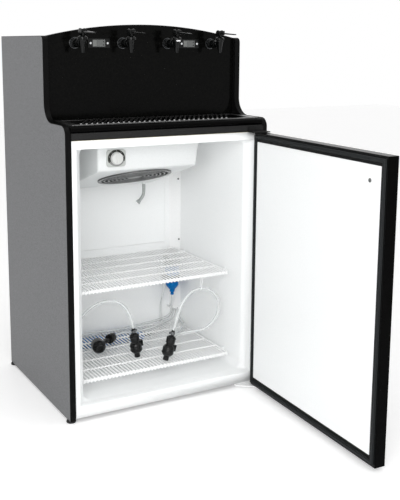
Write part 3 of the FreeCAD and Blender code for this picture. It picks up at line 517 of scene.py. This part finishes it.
def addLiner():
    low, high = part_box("inner_liner")
    bm = bmesh.new()
    loops = []
    for half, depth in ((liner["wall"], liner["back"]), (liner["wall"], liner["neck"]), (liner["mouth"], 0)):
        loops.append([bm.verts.new(at(x, depth, z))
                      for x, z in rectangle(-half, half, liner["floor"], liner["ceiling"])])
    loops.append([bm.verts.new((x, low.y, z)) for x, z in rectangle(low.x, high.x, low.z, high.z)])
    bm.faces.new(loops[0])
    for inner, outer in zip(loops, loops[1:]):
        for index in range(4):
            after = (index + 1) % 4
            bm.faces.new((inner[index], outer[index], outer[after], inner[after]))
    bmesh.ops.recalc_face_normals(bm, faces=bm.faces)
    neckY = loops[1][0].co.y
    deep = [e for e in bm.edges if any(v in loops[0] for v in e.verts)]
    bmesh.ops.bevel(bm, geom=deep, offset=liner["corner"] / 1000, segments=6, **soften)
    bend = [e for e in bm.edges if all(abs(v.co.y - neckY) < samePlane for v in e.verts)]
    bmesh.ops.bevel(bm, geom=bend, offset=liner["bend"] / 1000, segments=3, **soften)
    lip = [e for e in bm.edges if not e.is_boundary
           and all(abs(v.co.y - frontY) < samePlane for v in e.verts)
           and all(low.x + 0.001 < v.co.x < high.x - 0.001 for v in e.verts)]
    bmesh.ops.bevel(bm, geom=lip, offset=liner["lip"] / 1000, segments=3, **soften)
    piece = addPiece("cabinetLiner", bm, "linerWhite", "inner_liner", angle=liner["edgeAngle"])
    wall = piece.modifiers.new("wall", "SOLIDIFY")
    wall.thickness = liner["skin"] / 1000
    wall.offset = -1


addLiner()
print("liner")

# Boards, housings and covers with their edges eased
roundedCopy("backsplash", "backsplash_panel", 0.8, "blackLaminate")
roundedCopy("ledge", "ledge_board", 0.8, "ledgeBlack")
roundedCopy("trims", "edge_trims", 0.5, "edgeStrip")
roundedCopy("coolerTop", "fridge_worktop", 1.5, "worktopGrey", 3)
roundedCopy("ductPanel", "air_duct_panel", 2.0, "linerWhite")
roundedCopy("chase", "line_chase", 0.3, "chaseWhite")
roundedCopy("doorSkin", "door_skin", 2.2, "doorBlack", 3)
roundedCopy("doorCore", "door_core", 0.8, "frameBlack")
roundedCopy("doorPanel", "door_inner_panel", 2.4, "linerWhite", 3)
roundedCopy("displayBezels", "display_bezels", 0.8, "tapBlack")
roundedCopy("glides", "floor_glides", 1.6, "glidePlastic", 3)
roundedCopy("trayPan", "drip_tray", 0.6, "trayBlack")
print("eased boards and covers")


# Evaporator housing: its front corners are round, and its right side draws in towards the bottom
housing = {"rounding": 7, "draftTop": 717, "draftBottom": 656, "outAtTop": 6, "inAtBottom": 4,
           "inAtLeast": 8, "sideBand": 4, "frontBand": 0.2, "longEdge": 50, "topBand": 2, "easing": 0.7}


def addHousing():
    low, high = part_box("evaporator_housing")
    sizes = {key: value / 1000 for key, value in housing.items()}
    bm = cadCopy("evaporator_housing")
    slope = (housing["outAtTop"] + housing["inAtBottom"]) / (housing["draftTop"] - housing["draftBottom"])
    for vert in bm.verts:
        if vert.co.x > high.x - sizes["sideBand"]:
            rise = vert.co.z * 1000 - housing["draftBottom"]
            vert.co.x += max(rise * slope - housing["inAtBottom"], -housing["inAtLeast"]) / 1000
    front = [e for e in bm.edges if all(abs(v.co.y - low.y) < sizes["frontBand"] for v in e.verts)
             and e.calc_length() > sizes["longEdge"]
             and min(v.co.z for v in e.verts) < high.z - sizes["topBand"]]
    bmesh.ops.bevel(bm, geom=front, offset=sizes["rounding"], segments=4, **soften)
    addBevel(addPiece("evaporatorHousing", bm, "housingShadedWhite", "evaporator_housing"), housing["easing"])


addHousing()
print("housing")


# Thermostat: a square plate with a printed scale and a white knob
dial = {"x": -126, "depth": 85.8, "z": 691, "ringIn": 17.6, "ringOut": 25.5, "flatten": 0.92,
        "darkFrom": -22, "darkTurn": 232, "lowerStep": 1.5, "offFrom": 262, "offTurn": 40, "offOut": 19.2,
        "steps": 30,
        "printed": 0.25, "markFrom": 205, "markTurn": 230, "markRadius": 21.6, "markHeight": 4.6,
        "markDepth": 0.12, "markLift": 0.6, "marks": 7, "seat": 0.4, "edgeAngle": 30,
        "knob": [(0, 0), (17.6, 0), (17.6, 1.6), (17, 2.4), (16.3, 8.6), (14.6, 10), (0, 10)],
        "gripHalf": 3.4, "gripReach": 15, "gripTop": 14, "gripFoot": 4, "narrowAbove": 8, "narrowing": 0.45}


def addScale(name, finish, start, sweep, outer, lift):
    # a flat printed ring sector, from a start angle upwards from the right, in degrees
    centre = at(dial["x"], dial["depth"] - lift, dial["z"])
    turn = math.radians(start)
    way = Vector((math.cos(turn), 0, math.sin(turn)))
    bm = bmesh.new()
    spoke = [bm.verts.new(centre + way * radius / 1000) for radius in (dial["ringIn"], outer)]
    edge = bm.edges.new(spoke)
    bmesh.ops.spin(bm, geom=spoke + [edge], cent=centre, axis=(0, -1, 0), angle=math.radians(sweep),
                   steps=dial["steps"])
    bmesh.ops.scale(bm, vec=(1, 1, dial["flatten"]), space=Matrix.Translation(-centre), verts=bm.verts)
    bmesh.ops.recalc_face_normals(bm, faces=bm.faces)
    sheet = addPiece(name, bm, finish, "thermostat_plate", hide=False).modifiers.new("print", "SOLIDIFY")
    sheet.thickness = dial["printed"] / 1000
    sheet.offset = 0


def addNumbers():
    # plain numbers round the dial's upper arc
    bm = bmesh.new()
    for index in range(dial["marks"]):
        turn = math.radians(dial["markFrom"] - index * dial["markTurn"] / (dial["marks"] - 1))
        text = bpy.data.curves.new("number", "FONT")
        text.body = str(index + 1)
        text.size = dial["markHeight"] / 1000
        text.align_x = "CENTER"
        text.align_y = "CENTER"
        text.extrude = dial["markDepth"] / 1000
        source = bpy.data.objects.new("number", text)
        bpy.context.scene.collection.objects.link(source)
        mesh = bpy.data.meshes.new_from_object(source.evaluated_get(bpy.context.evaluated_depsgraph_get()))
        bpy.data.objects.remove(source)
        across = math.cos(turn) * dial["markRadius"]
        rise = math.sin(turn) * dial["markRadius"] * dial["flatten"]
        spot = at(dial["x"] + across, dial["depth"] - dial["markLift"], dial["z"] + rise)
        mesh.transform(Matrix.Translation(spot) @ Matrix.Rotation(math.radians(90), 4, "X"))
        bm.from_mesh(mesh)
        bpy.data.meshes.remove(mesh)
    bmesh.ops.remove_doubles(bm, verts=bm.verts, dist=mergeGap)
    addPiece("dialNumbers", bm, "knobWhite", "thermostat_plate", hide=False)


def addKnob():
    half, reach, x = dial["gripHalf"], dial["gripReach"], dial["x"]
    bm = bmesh.new()
    spun(bm, dial["knob"], at(x, dial["depth"] - dial["seat"], dial["z"]), (0, -1, 0), 40)
    grip = block(bm, at(x - half, dial["depth"] - dial["gripTop"], dial["z"] - reach),
                 at(x + half, dial["depth"] - dial["gripFoot"], dial["z"] + reach))
    for vert in grip:
        if vert.co.y < at(0, dial["depth"] - dial["narrowAbove"], 0).y:
            vert.co.x += (x / 1000 - vert.co.x) * dial["narrowing"]  # the grip narrows to its top
    knob = addPiece("thermostatKnob", bm, "knobWhite", "thermostat_knob", angle=dial["edgeAngle"])
    addBevel(knob, 0.6)


roundedCopy("thermostatPlate", "thermostat_plate", 1.0, "dialGrey")
addScale("dialScale", "dialDark", dial["darkFrom"], dial["darkTurn"], dial["ringOut"], 0.15)
addScale("dialLower", "dialMid", dial["darkFrom"] + dial["darkTurn"], 360 - dial["darkTurn"],
         dial["ringOut"] - dial["lowerStep"], 0.15)
addScale("dialOff", "dialDark", dial["offFrom"], dial["offTurn"], dial["offOut"], 0.4)
addNumbers()
addKnob()
print("thermostat")


# Taps: a turned spout under a castellated cap, a barrel to the board and a lever over the top
tap = {
    "pitch": 140, "depth": 108, "board": 165, "barrelZ": 998, "pivotZ": 1027, "barrelFrom": 155,
    "spout": [(0, 973.5), (2.6, 973.5), (2.6, 971.6), (4.2, 971.6), (4.8, 974), (9.3, 1002), (10.2, 1003.4),
              (10.4, 1007.4), (12, 1008.2), (12.5, 1009.6), (12.5, 1012.4), (11.4, 1014.4), (8, 1016.6),
              (0, 1017.2)],
    "barrel": [(0, -2), (12.4, -2), (12.9, 1), (12.9, 4), (11.4, 5.4), (10.6, 8), (10.6, 22), (11.4, 23),
               (11.4, 27), (10.4, 28), (9.8, 40), (0, 40)],
    "prongs": 8, "prongLow": (11.2, -1.6, 1007.2), "prongHigh": (13.8, 1.6, 1013.6),
    "neckHalf": 2.9, "neckReach": 6.2, "neckFoot": 1012, "boss": (6.3, 5.8),
    "pin": (2.4, 18.6), "pinHalf": 9.3,
    # painted highlight: the tap whose ring gets a pale block, and where that block sits
    "glintTap": 3, "glintLow": (-6, 96.2, 1003.5), "glintHigh": (6, 99, 1007.5),
    "ear": [(0, 0), (8, 0), (9, 0.8), (9, 5), (8, 5.8), (0, 5.8)], "earStarts": (3.2, -9),
    "bridgeHalf": 8.6, "bridgeFront": 13, "bridgeBack": 7.4, "bridgeDown": 4.6, "bridgeUp": 7,
    "bladeLow": (-5, -82, -1.2), "bladeHigh": (5, -10, 3), "droop": 4,
    "tipBeyond": 40, "tipWidth": 0.78, "tipThick": 0.7, "tipLift": 1.2,
}
nut = {
    "proud": 0.1, "collar": [(9.2, 0), (16, 0), (16.4, 0.8), (16, 2), (14.2, 2.6), (13.8, 5), (12.8, 8.4),
                             (11.8, 10), (9.2, 10), (9.2, 0)],
    "rings": ((14.5, 3), (12.9, 7.6)), "hexagon": [(9.2, 0), (15.5, 0), (15.5, 8), (9.2, 8), (9.2, 0)],
    "hexagonDepth": 189.2,
}


def tapX(number):
    return tap["pitch"] * (number - 2.5)


def addTapBody(number):
    x = tapX(number)
    node = "tap_%d_body" % number
    middle = at(x, tap["depth"], 0)
    bm = bmesh.new()
    spun(bm, tap["spout"], middle)
    spun(bm, tap["barrel"], at(x, tap["barrelFrom"], tap["barrelZ"]), (0, -1, 0))
    for index in range(tap["prongs"]):
        prong = block(bm, mm(*tap["prongLow"]), mm(*tap["prongHigh"]))
        turn = Matrix.Rotation(math.tau * (index + 0.5) / tap["prongs"], 3, "Z")
        bmesh.ops.rotate(bm, verts=prong, cent=(0, 0, 0), matrix=turn)
        bmesh.ops.translate(bm, verts=prong, vec=middle)
    block(bm, at(x - tap["neckHalf"], tap["depth"] - tap["neckReach"], tap["neckFoot"]),
          at(x + tap["neckHalf"], tap["depth"] + tap["neckReach"], tap["pivotZ"]))
    rod(bm, *tap["boss"], at(x - tap["neckHalf"], tap["depth"], tap["pivotZ"]), (1, 0, 0), 24)
    rod(bm, *tap["pin"], at(x - tap["pinHalf"], tap["depth"], tap["pivotZ"]), (1, 0, 0), 16)
    addBevel(addPiece("tap%dBody" % number, bm, "tapBlack", node), 0.5)
    # painted highlight: a pale block on one tap's ring stands for the glint it catches
    if number == tap["glintTap"]:
        bm = bmesh.new()
        (lowX, *low), (highX, *high) = tap["glintLow"], tap["glintHigh"]
        block(bm, at(x + lowX, *low), at(x + highX, *high))
        addBevel(addPiece("tap%dMark" % number, bm, "coatedWhite", node, hide=False), 0.6)


def addTapLever(number):
    x = tapX(number)
    pivot = at(x, tap["depth"], tap["pivotZ"])
    bm = bmesh.new()
    for start in tap["earStarts"]:
        spun(bm, tap["ear"], at(x + start, tap["depth"], tap["pivotZ"]), (1, 0, 0), 24)
    half = tap["bridgeHalf"]
    block(bm, at(x - half, tap["depth"] - tap["bridgeFront"], tap["pivotZ"] - tap["bridgeDown"]),
          at(x + half, tap["depth"] - tap["bridgeBack"], tap["pivotZ"] + tap["bridgeUp"]))
    blade = block(bm, mm(*tap["bladeLow"]), mm(*tap["bladeHigh"]))
    for vert in blade:
        if vert.co.y < -tap["tipBeyond"] / 1000:
            # the blade tapers, thins and lifts a little at its tip
            vert.co.x *= tap["tipWidth"]
            vert.co.z = vert.co.z * tap["tipThick"] + tap["tipLift"] / 1000
    droop = Matrix.Rotation(math.radians(tap["droop"]), 3, "X")
    bmesh.ops.rotate(bm, verts=blade, cent=(0, 0, 0), matrix=droop)
    bmesh.ops.translate(bm, verts=blade, vec=pivot)
    addBevel(addPiece("tap%dLever" % number, bm, "tapBlack", "tap_%d_lever" % number), 1.0, 3)


def addTapNuts():
    # each shank has a round nut on the board's face and a hexagon nut behind it
    dark = bmesh.new()
    bright = bmesh.new()
    for number in range(1, 5):
        face = at(tapX(number), tap["board"] - nut["proud"], tap["barrelZ"])
        spun(dark, nut["collar"], face, (0, -1, 0), 40)
        for radius, height in nut["rings"]:
            spun(bright, [(radius - 1, height - 0.4), (radius + 0.4, height - 0.3),
                          (radius + 0.4, height + 0.3), (radius - 1, height + 0.4),
                          (radius - 1, height - 0.4)], face, (0, -1, 0), 40)
        spun(bright, nut["hexagon"], at(tapX(number), nut["hexagonDepth"], tap["barrelZ"]), (0, -1, 0), 6)
    addPiece("tapEscutcheons", dark, "tapBlack", "tap_nuts")
    addPiece("tapNutRings", bright, "nutSteel", "tap_nuts", hide=False)


for number in range(1, 5):
    addTapBody(number)
    addTapLever(number)
addTapNuts()
print("taps")


# Displays: each window has a paler strip at its left and a small key at its right
display = {"stripX": (-18, -7), "stripDepth": (162.2, 162.7), "stripZ": (989.5, 1005.5), "keyX": 14,
           "keyZ": (993, 1001.5), "key": [(0, 0), (1.6, 0), (1.6, 0.5), (1.2, 0.8), (0, 0.8)]}


def addDisplayStrips():
    strips = bmesh.new()
    keys = bmesh.new()
    near, far = display["stripDepth"]
    for x in (-tap["pitch"], tap["pitch"]):
        block(strips, at(x + display["stripX"][0], near, display["stripZ"][0]),
              at(x + display["stripX"][1], far, display["stripZ"][1]))
        for z in display["keyZ"]:
            spun(keys, display["key"], at(x + display["keyX"], far, z), (0, -1, 0), 16)
    addBevel(addPiece("displayStrips", strips, "screenPale", "display_windows", hide=False), 0.15, 1)
    addPiece("displayKeys", keys, "fittingBlack", "display_windows", hide=False)


addDisplayStrips()
print("displays")


# Gas side: the filter on the rear wall and the cylinder on the floor
gas = {
    "x": 214, "depth": 401, "wall": 439.9, "port": 184, "portZ": 243, "nippleZ": 236,
    "cap": [(0, 281), (25.4, 281), (27, 283), (27, 309), (25.6, 312), (0, 313)],
    "ring": [(0, 227.5), (24, 227.5), (25, 229), (25, 247), (24, 248.6), (0, 248.6)],
    "ribs": 16, "ribLow": (24.5, -1.2, 229), "ribHigh": (26, 1.2, 247),
    "bracketX": (201, 219), "bracketFrom": 411, "bracketZ": (286, 306), "portRod": (6, 36),
    "nipple": (4.5, 8),
    "band": [(0, 248.4), (23.4, 248.4), (24, 249.4), (24, 280.4), (23.4, 281.4), (0, 281.4)],
    "bowl": [(0, 178), (4.6, 178.4), (5.6, 180), (5.6, 184.6), (4.6, 186), (3.4, 186.6), (3.4, 188.4),
             (8.2, 189.2), (8.6, 196), (10, 198.5), (18.2, 207.5), (19.4, 210.5), (20.8, 212), (21, 214),
             (21, 228), (0, 228)],
}
cylinder = {
    "start": (-135, 412, 59.7), "end": (110, 392, 59.7), "radius": 17.7, "bands": (14, 96, 178),
    "foot": [(0, 0), (13, 0), (15.4, 0.8), (17, 2.6), (17.7, 5)],
    "shoulder": [(17.7, -22), (16.8, -16), (13.6, -10), (8.4, -6), (8.4, -4), (0, -4)],
    "valve": [(0, -6), (8, -6), (8.6, -5), (8.6, -1), (6, 0), (6, 12), (7, 13), (7, 16), (4, 17), (4, 20),
              (0, 20)],
}


def addFilter():
    foot = at(gas["x"], gas["depth"], 0)
    bm = bmesh.new()
    spun(bm, gas["cap"], foot)
    spun(bm, gas["ring"], foot)
    for index in range(gas["ribs"]):
        rib = block(bm, mm(*gas["ribLow"]), mm(*gas["ribHigh"]))
        turn = Matrix.Rotation(math.tau * index / gas["ribs"], 3, "Z")
        bmesh.ops.rotate(bm, verts=rib, cent=(0, 0, 0), matrix=turn)
        bmesh.ops.translate(bm, verts=rib, vec=foot)
    block(bm, at(gas["bracketX"][0], gas["bracketFrom"], gas["bracketZ"][0]),
          at(gas["bracketX"][1], gas["wall"], gas["bracketZ"][1]))
    rod(bm, *gas["portRod"], at(gas["x"], gas["depth"], gas["portZ"]), (-1, 0, 0), 20)
    rod(bm, *gas["nipple"], at(gas["port"], gas["depth"], gas["nippleZ"]), (0, 0, 1), 16)
    addBevel(addPiece("filterHead", bm, "fittingBlack", "gas_filter_body"), 0.5)
    bm = bmesh.new()
    spun(bm, gas["band"], foot)
    addPiece("filterBand", bm, "enamelBlue", "gas_filter_bowl", hide=False)
    bm = bmesh.new()
    spun(bm, gas["bowl"], foot, steps=40)
    addPiece("filterBowl", bm, "enamelBlue", "gas_filter_bowl")


def addCylinder():
    start, end = at(*cylinder["start"]), at(*cylinder["end"])
    length = (end - start).length * 1000
    radius = cylinder["radius"]
    way = (end - start).normalized()
    bm = bmesh.new()
    shoulder = [(across, length + rise) for across, rise in cylinder["shoulder"]]
    spun(bm, cylinder["foot"] + shoulder, start, way, 40)
    addPiece("gasCylinder", bm, "enamelBlue", "gas_cylinder")
    bm = bmesh.new()
    spun(bm, cylinder["valve"], end, way, 24)
    for band in cylinder["bands"]:
        spun(bm, [(radius - 1, 0), (radius + 0.3, 0.2), (radius + 0.3, 5.8), (radius - 1, 6),
                  (radius - 1, 0)], start + way * band / 1000, way, 40)
    addPiece("cylinderValve", bm, "fittingBlack", "gas_cylinder", hide=False)


addFilter()
addCylinder()
print("gas side")


# Bottle connectors: the construction's bodies with eased edges, collars and a steel hose clamp
connectors = {
    "left": {"foot": (-112, 258, 102.4), "way": (0.8, 0.6, 0), "clamp": 91,
             "collars": ((6.5, 14, 3), (6.5, 40, 3), (14, 66, 2))},
    "middle": {"foot": (-27, 167, 84.2), "way": (-0.149, 0, 0.989), "clamp": 77,
               "collars": ((13.5, 65, 3), (17, 22, 2.5), (17, 34, 2.5))},
    "right": {"foot": (31, 99, 85.4), "way": (0.292, 0, 0.957), "clamp": 77,
              "collars": ((13.5, 65, 3), (17, 22, 2.5), (17, 34, 2.5))},
}
clampForm = {"ring": [(4.9, 0), (6.6, 0.2), (6.8, 1), (6.8, 7), (6.6, 7.8), (4.9, 8), (4.9, 0)],
             "screwLow": (-2.2, 6, 1), "screwHigh": (2.2, 10.5, 7)}
outlet = {"tube": [(0, -2), (6.4, -2), (6.4, 4), (5, 5), (5, 12), (3, 12.4), (3, 8), (0, 8)],
          "seal": [(4.8, 7.4), (6, 7.6), (6.2, 8.4), (6, 9.2), (4.8, 9.4), (4.8, 7.4)]}


def addConnector(key, form):
    node = "connector_" + key
    foot, way = at(*form["foot"]), Vector(form["way"]).normalized()
    bm = cadCopy(node, flatten=False)
    for radius, height, width in form["collars"]:
        spun(bm, [(radius - 1, 0), (radius + 0.6, 0), (radius + 1, 0.5), (radius + 1, width - 0.5),
                  (radius + 0.6, width), (radius - 1, width), (radius - 1, 0)],
             foot + way * height / 1000, way, 32)
    shell = addBevel(addPiece(node + "_shell", bm, "fittingBlack", node), 0.5)
    place = foot + way * form["clamp"] / 1000
    bm = bmesh.new()
    spun(bm, clampForm["ring"], place, way, 28)
    screw = block(bm, mm(*clampForm["screwLow"]), mm(*clampForm["screwHigh"]))
    spot = Matrix.Translation(place) @ way.to_track_quat("Z", "Y").to_matrix().to_4x4()
    bmesh.ops.transform(bm, matrix=spot, verts=screw)
    clamp = addPiece(node + "_clamp", bm, "nutSteel", node, hide=False)


def addOutlet():
    # the lying connector shows its short outlet with a pale seal ring
    foot, way = at(*connectors["left"]["foot"]), -Vector(connectors["left"]["way"]).normalized()
    bm = bmesh.new()
    spun(bm, outlet["tube"], foot, way, 28)
    addPiece("connector_left_outlet", bm, "fittingBlack", "connector_left", hide=False)
    bm = bmesh.new()
    spun(bm, outlet["seal"], foot, way, 28)
    addPiece("connector_left_seal", bm, "coatedWhite", "connector_left", hide=False)


for key, form in connectors.items():
    addConnector(key, form)
addOutlet()
print("connectors")


# Small pieces: the chase's two screws, the tie round the right line's slack and the hose's open cuff
chaseScrews = [(245, 417.7, 561.9), (246.9, 415.8, 360.1)]
tie = {"x": 148.5, "thick": 1.4, "loop": [(96.8, 284), (99, 280.2), (103, 279.8), (106, 283), (95.5, 326),
                                          (93, 330.6), (88.3, 329), (87.6, 321)]}
cuff = {"length": 9, "wall": [(4.6, 0), (5.6, 0), (5.9, 2), (7.2, 7), (7.6, 9), (6.6, 9.2), (5.2, 4),
                              (4.6, 0)]}


def addScrews(name, finish, spots, node, radius):
    # pan-head screws with a flat rim: (place, direction) each
    bm = bmesh.new()
    for place, way in spots:
        spun(bm, [(0, 0), (radius, 0), (radius, 0.5), (radius - 0.5, 1.2), (radius - 1.6, 1.7), (0, 1.8)],
             place, way, 24)
    addPiece(name, bm, finish, node, hide=False)


def addTie():
    ring = [at(tie["x"], depth, z) for depth, z in tie["loop"]]
    addWires("lineTie", [ring + ring[:1]], tie["thick"], "coatedWhite", "product_line_right", hide=False)


def addCuff():
    # a short flared cuff, open at its end, round the hose's outlet
    end, before = (at(*p) for p in (lineRoutes["drain"][-1], lineRoutes["drain"][-2]))
    way = (end - before).normalized()
    bm = bmesh.new()
    spun(bm, cuff["wall"], end - way * (cuff["length"] / 1000), way, 28)
    addPiece("drainCuff", bm, "hoseGrey", "drain_hose", hide=False)


chaseSpots = [(at(*spot), Vector((-1, -1, 0))) for spot in chaseScrews]
addScrews("chaseScrews", "screenGrey", chaseSpots, "line_chase", 3)
addTie()
addCuff()
print("small pieces")


# Door: the gasket is a magnetic strip with two bellows folds, mitred at the corners
door = {"pivot": (274, -27), "width": 576, "low": 9, "high": 753, "overhang": 14, "sealEdge": 6.5,
        "sealPlane": 18.5, "sealAngle": 50, "screw": (-502.6, 21.5, 691.4), "screwRadius": 5.2}
sealProfile = [(0.4, 0), (0, 1), (1.1, 2.2), (0, 3.4), (0.2, 5.6), (1, 6.6), (4, 7), (7.2, 6.6), (8, 5.4),
               (7.4, 4), (9.4, 2.8), (10.3, 1), (10, 0)]
swing = next(joint for joint in frame["record"]["behaviour"]["joints"] if joint["name"] == "door_hinge")
opened = (Matrix.Translation(at(*door["pivot"], 0))
          @ Matrix.Rotation(math.radians(-swing["range_deg"][0]), 4, "Z"))


def addSeal():
    left = door["overhang"] - door["width"] + door["sealEdge"]
    right = door["overhang"] - door["sealEdge"]
    low, high = door["low"] + door["sealEdge"], door["high"] - door["sealEdge"]
    bm = bmesh.new()
    loops = []
    for (x, z), (wayX, wayZ) in zip(rectangle(left, right, low, high), rectangle(1, -1, 1, -1)):
        places = [mm(x + wayX * inset, door["sealPlane"] + rise, z + wayZ * inset)
                  for inset, rise in sealProfile]
        ring = [bm.verts.new(opened @ place) for place in places]
        loops.append([bm.edges.new(pair) for pair in zip(ring, ring[1:] + ring[:1])])
    for here, there in zip(loops, loops[1:] + loops[:1]):
        bmesh.ops.bridge_loops(bm, edges=here + there)
    bmesh.ops.recalc_face_normals(bm, faces=bm.faces)
    addPiece("doorSeal", bm, "gasketRubber", "door_gasket", angle=door["sealAngle"])


addSeal()
doorSpots = [(opened @ (Vector(door["screw"]) / 1000), opened.to_3x3() @ Vector((0, 1, 0)))]
addScrews("doorScrew", "screenGrey", doorSpots, "door_inner_panel", door["screwRadius"])
print("door")


# Floor, backdrop and light
studio = {"sky": 0.66, "floorGlow": 0.3, "floorSize": 9, "floorGrain": 60}
lamps = {
    # place, target, size and watts
    "frontPanel": ((-1.5, -2.6, 1.25), (0, 0, 0.35), (1.8, 1.4), 47),
    "topPanel": ((0.2, -0.9, 3.0), (0, -0.1, 0.5), (1.8, 1.8), 10),
}


def whiteRays(tree):
    # 1 where the camera, a reflection or a refraction looks, so that they all meet a white studio
    path = addNode(tree, "ShaderNodeLightPath")
    rays = {0: path.outputs["Is Camera Ray"], 1: path.outputs["Is Glossy Ray"]}
    seen = addNode(tree, "ShaderNodeMath", links=rays, operation="MAXIMUM").outputs[0]
    rays = {0: seen, 1: path.outputs["Is Transmission Ray"]}
    return addNode(tree, "ShaderNodeMath", links=rays, operation="MAXIMUM").outputs[0]


def addStage():
    bm = bmesh.new()
    bmesh.ops.create_grid(bm, x_segments=1, y_segments=1, size=studio["floorSize"])
    mesh = bpy.data.meshes.new("floor")
    bm.to_mesh(mesh)
    bm.free()
    floor = bpy.data.objects.new("floor", mesh)
    bpy.context.scene.collection.objects.link(floor)
    tree, shader, where = newFinish("floorPale", rough=0.5, shine=0.2)
    grain, ramp = speckle(tree, where, studio["floorGrain"], colour("#f2f2f2"), colour("#f5f5f5"))
    tree.links.new(ramp.outputs["Color"], shader.inputs["Base Color"])
    glow = addNode(tree, "ShaderNodeMath", {0: studio["floorGlow"]}, {1: whiteRays(tree)},
                   operation="MULTIPLY")
    tree.links.new(glow.outputs[0], shader.inputs["Emission Strength"])
    shader.inputs["Emission Color"].default_value = (1, 1, 1, 1)
    mesh.materials.append(finishes["floorPale"])

    world = bpy.data.worlds.new("studio")
    bpy.context.scene.world = world
    world.use_nodes = True
    tree = world.node_tree
    tree.nodes.clear()
    soft = addNode(tree, "ShaderNodeBackground", {"Color": (1, 1, 1, 1), "Strength": studio["sky"]})
    white = addNode(tree, "ShaderNodeBackground", {"Color": (1, 1, 1, 1), "Strength": 1.0})
    feeds = {"Fac": whiteRays(tree), 1: soft.outputs[0], 2: white.outputs[0]}
    mix = addNode(tree, "ShaderNodeMixShader", links=feeds)
    addNode(tree, "ShaderNodeOutputWorld", links={"Surface": mix.outputs[0]})


def addLamp(name, place, target, size, watts):
    lamp = bpy.data.lights.new(name, "AREA")
    lamp.shape = "RECTANGLE"
    lamp.size, lamp.size_y = size
    lamp.energy = watts
    obj = bpy.data.objects.new(name, lamp)
    bpy.context.scene.collection.objects.link(obj)
    aim = Vector(target) - Vector(place)
    obj.matrix_world = Matrix.Translation(place) @ aim.to_track_quat("-Z", "Y").to_matrix().to_4x4()


addStage()
for name, (place, target, size, watts) in lamps.items():
    addLamp(name, place, target, size, watts)
bpy.context.scene.view_settings.view_transform = "Standard"
print("stage and light")
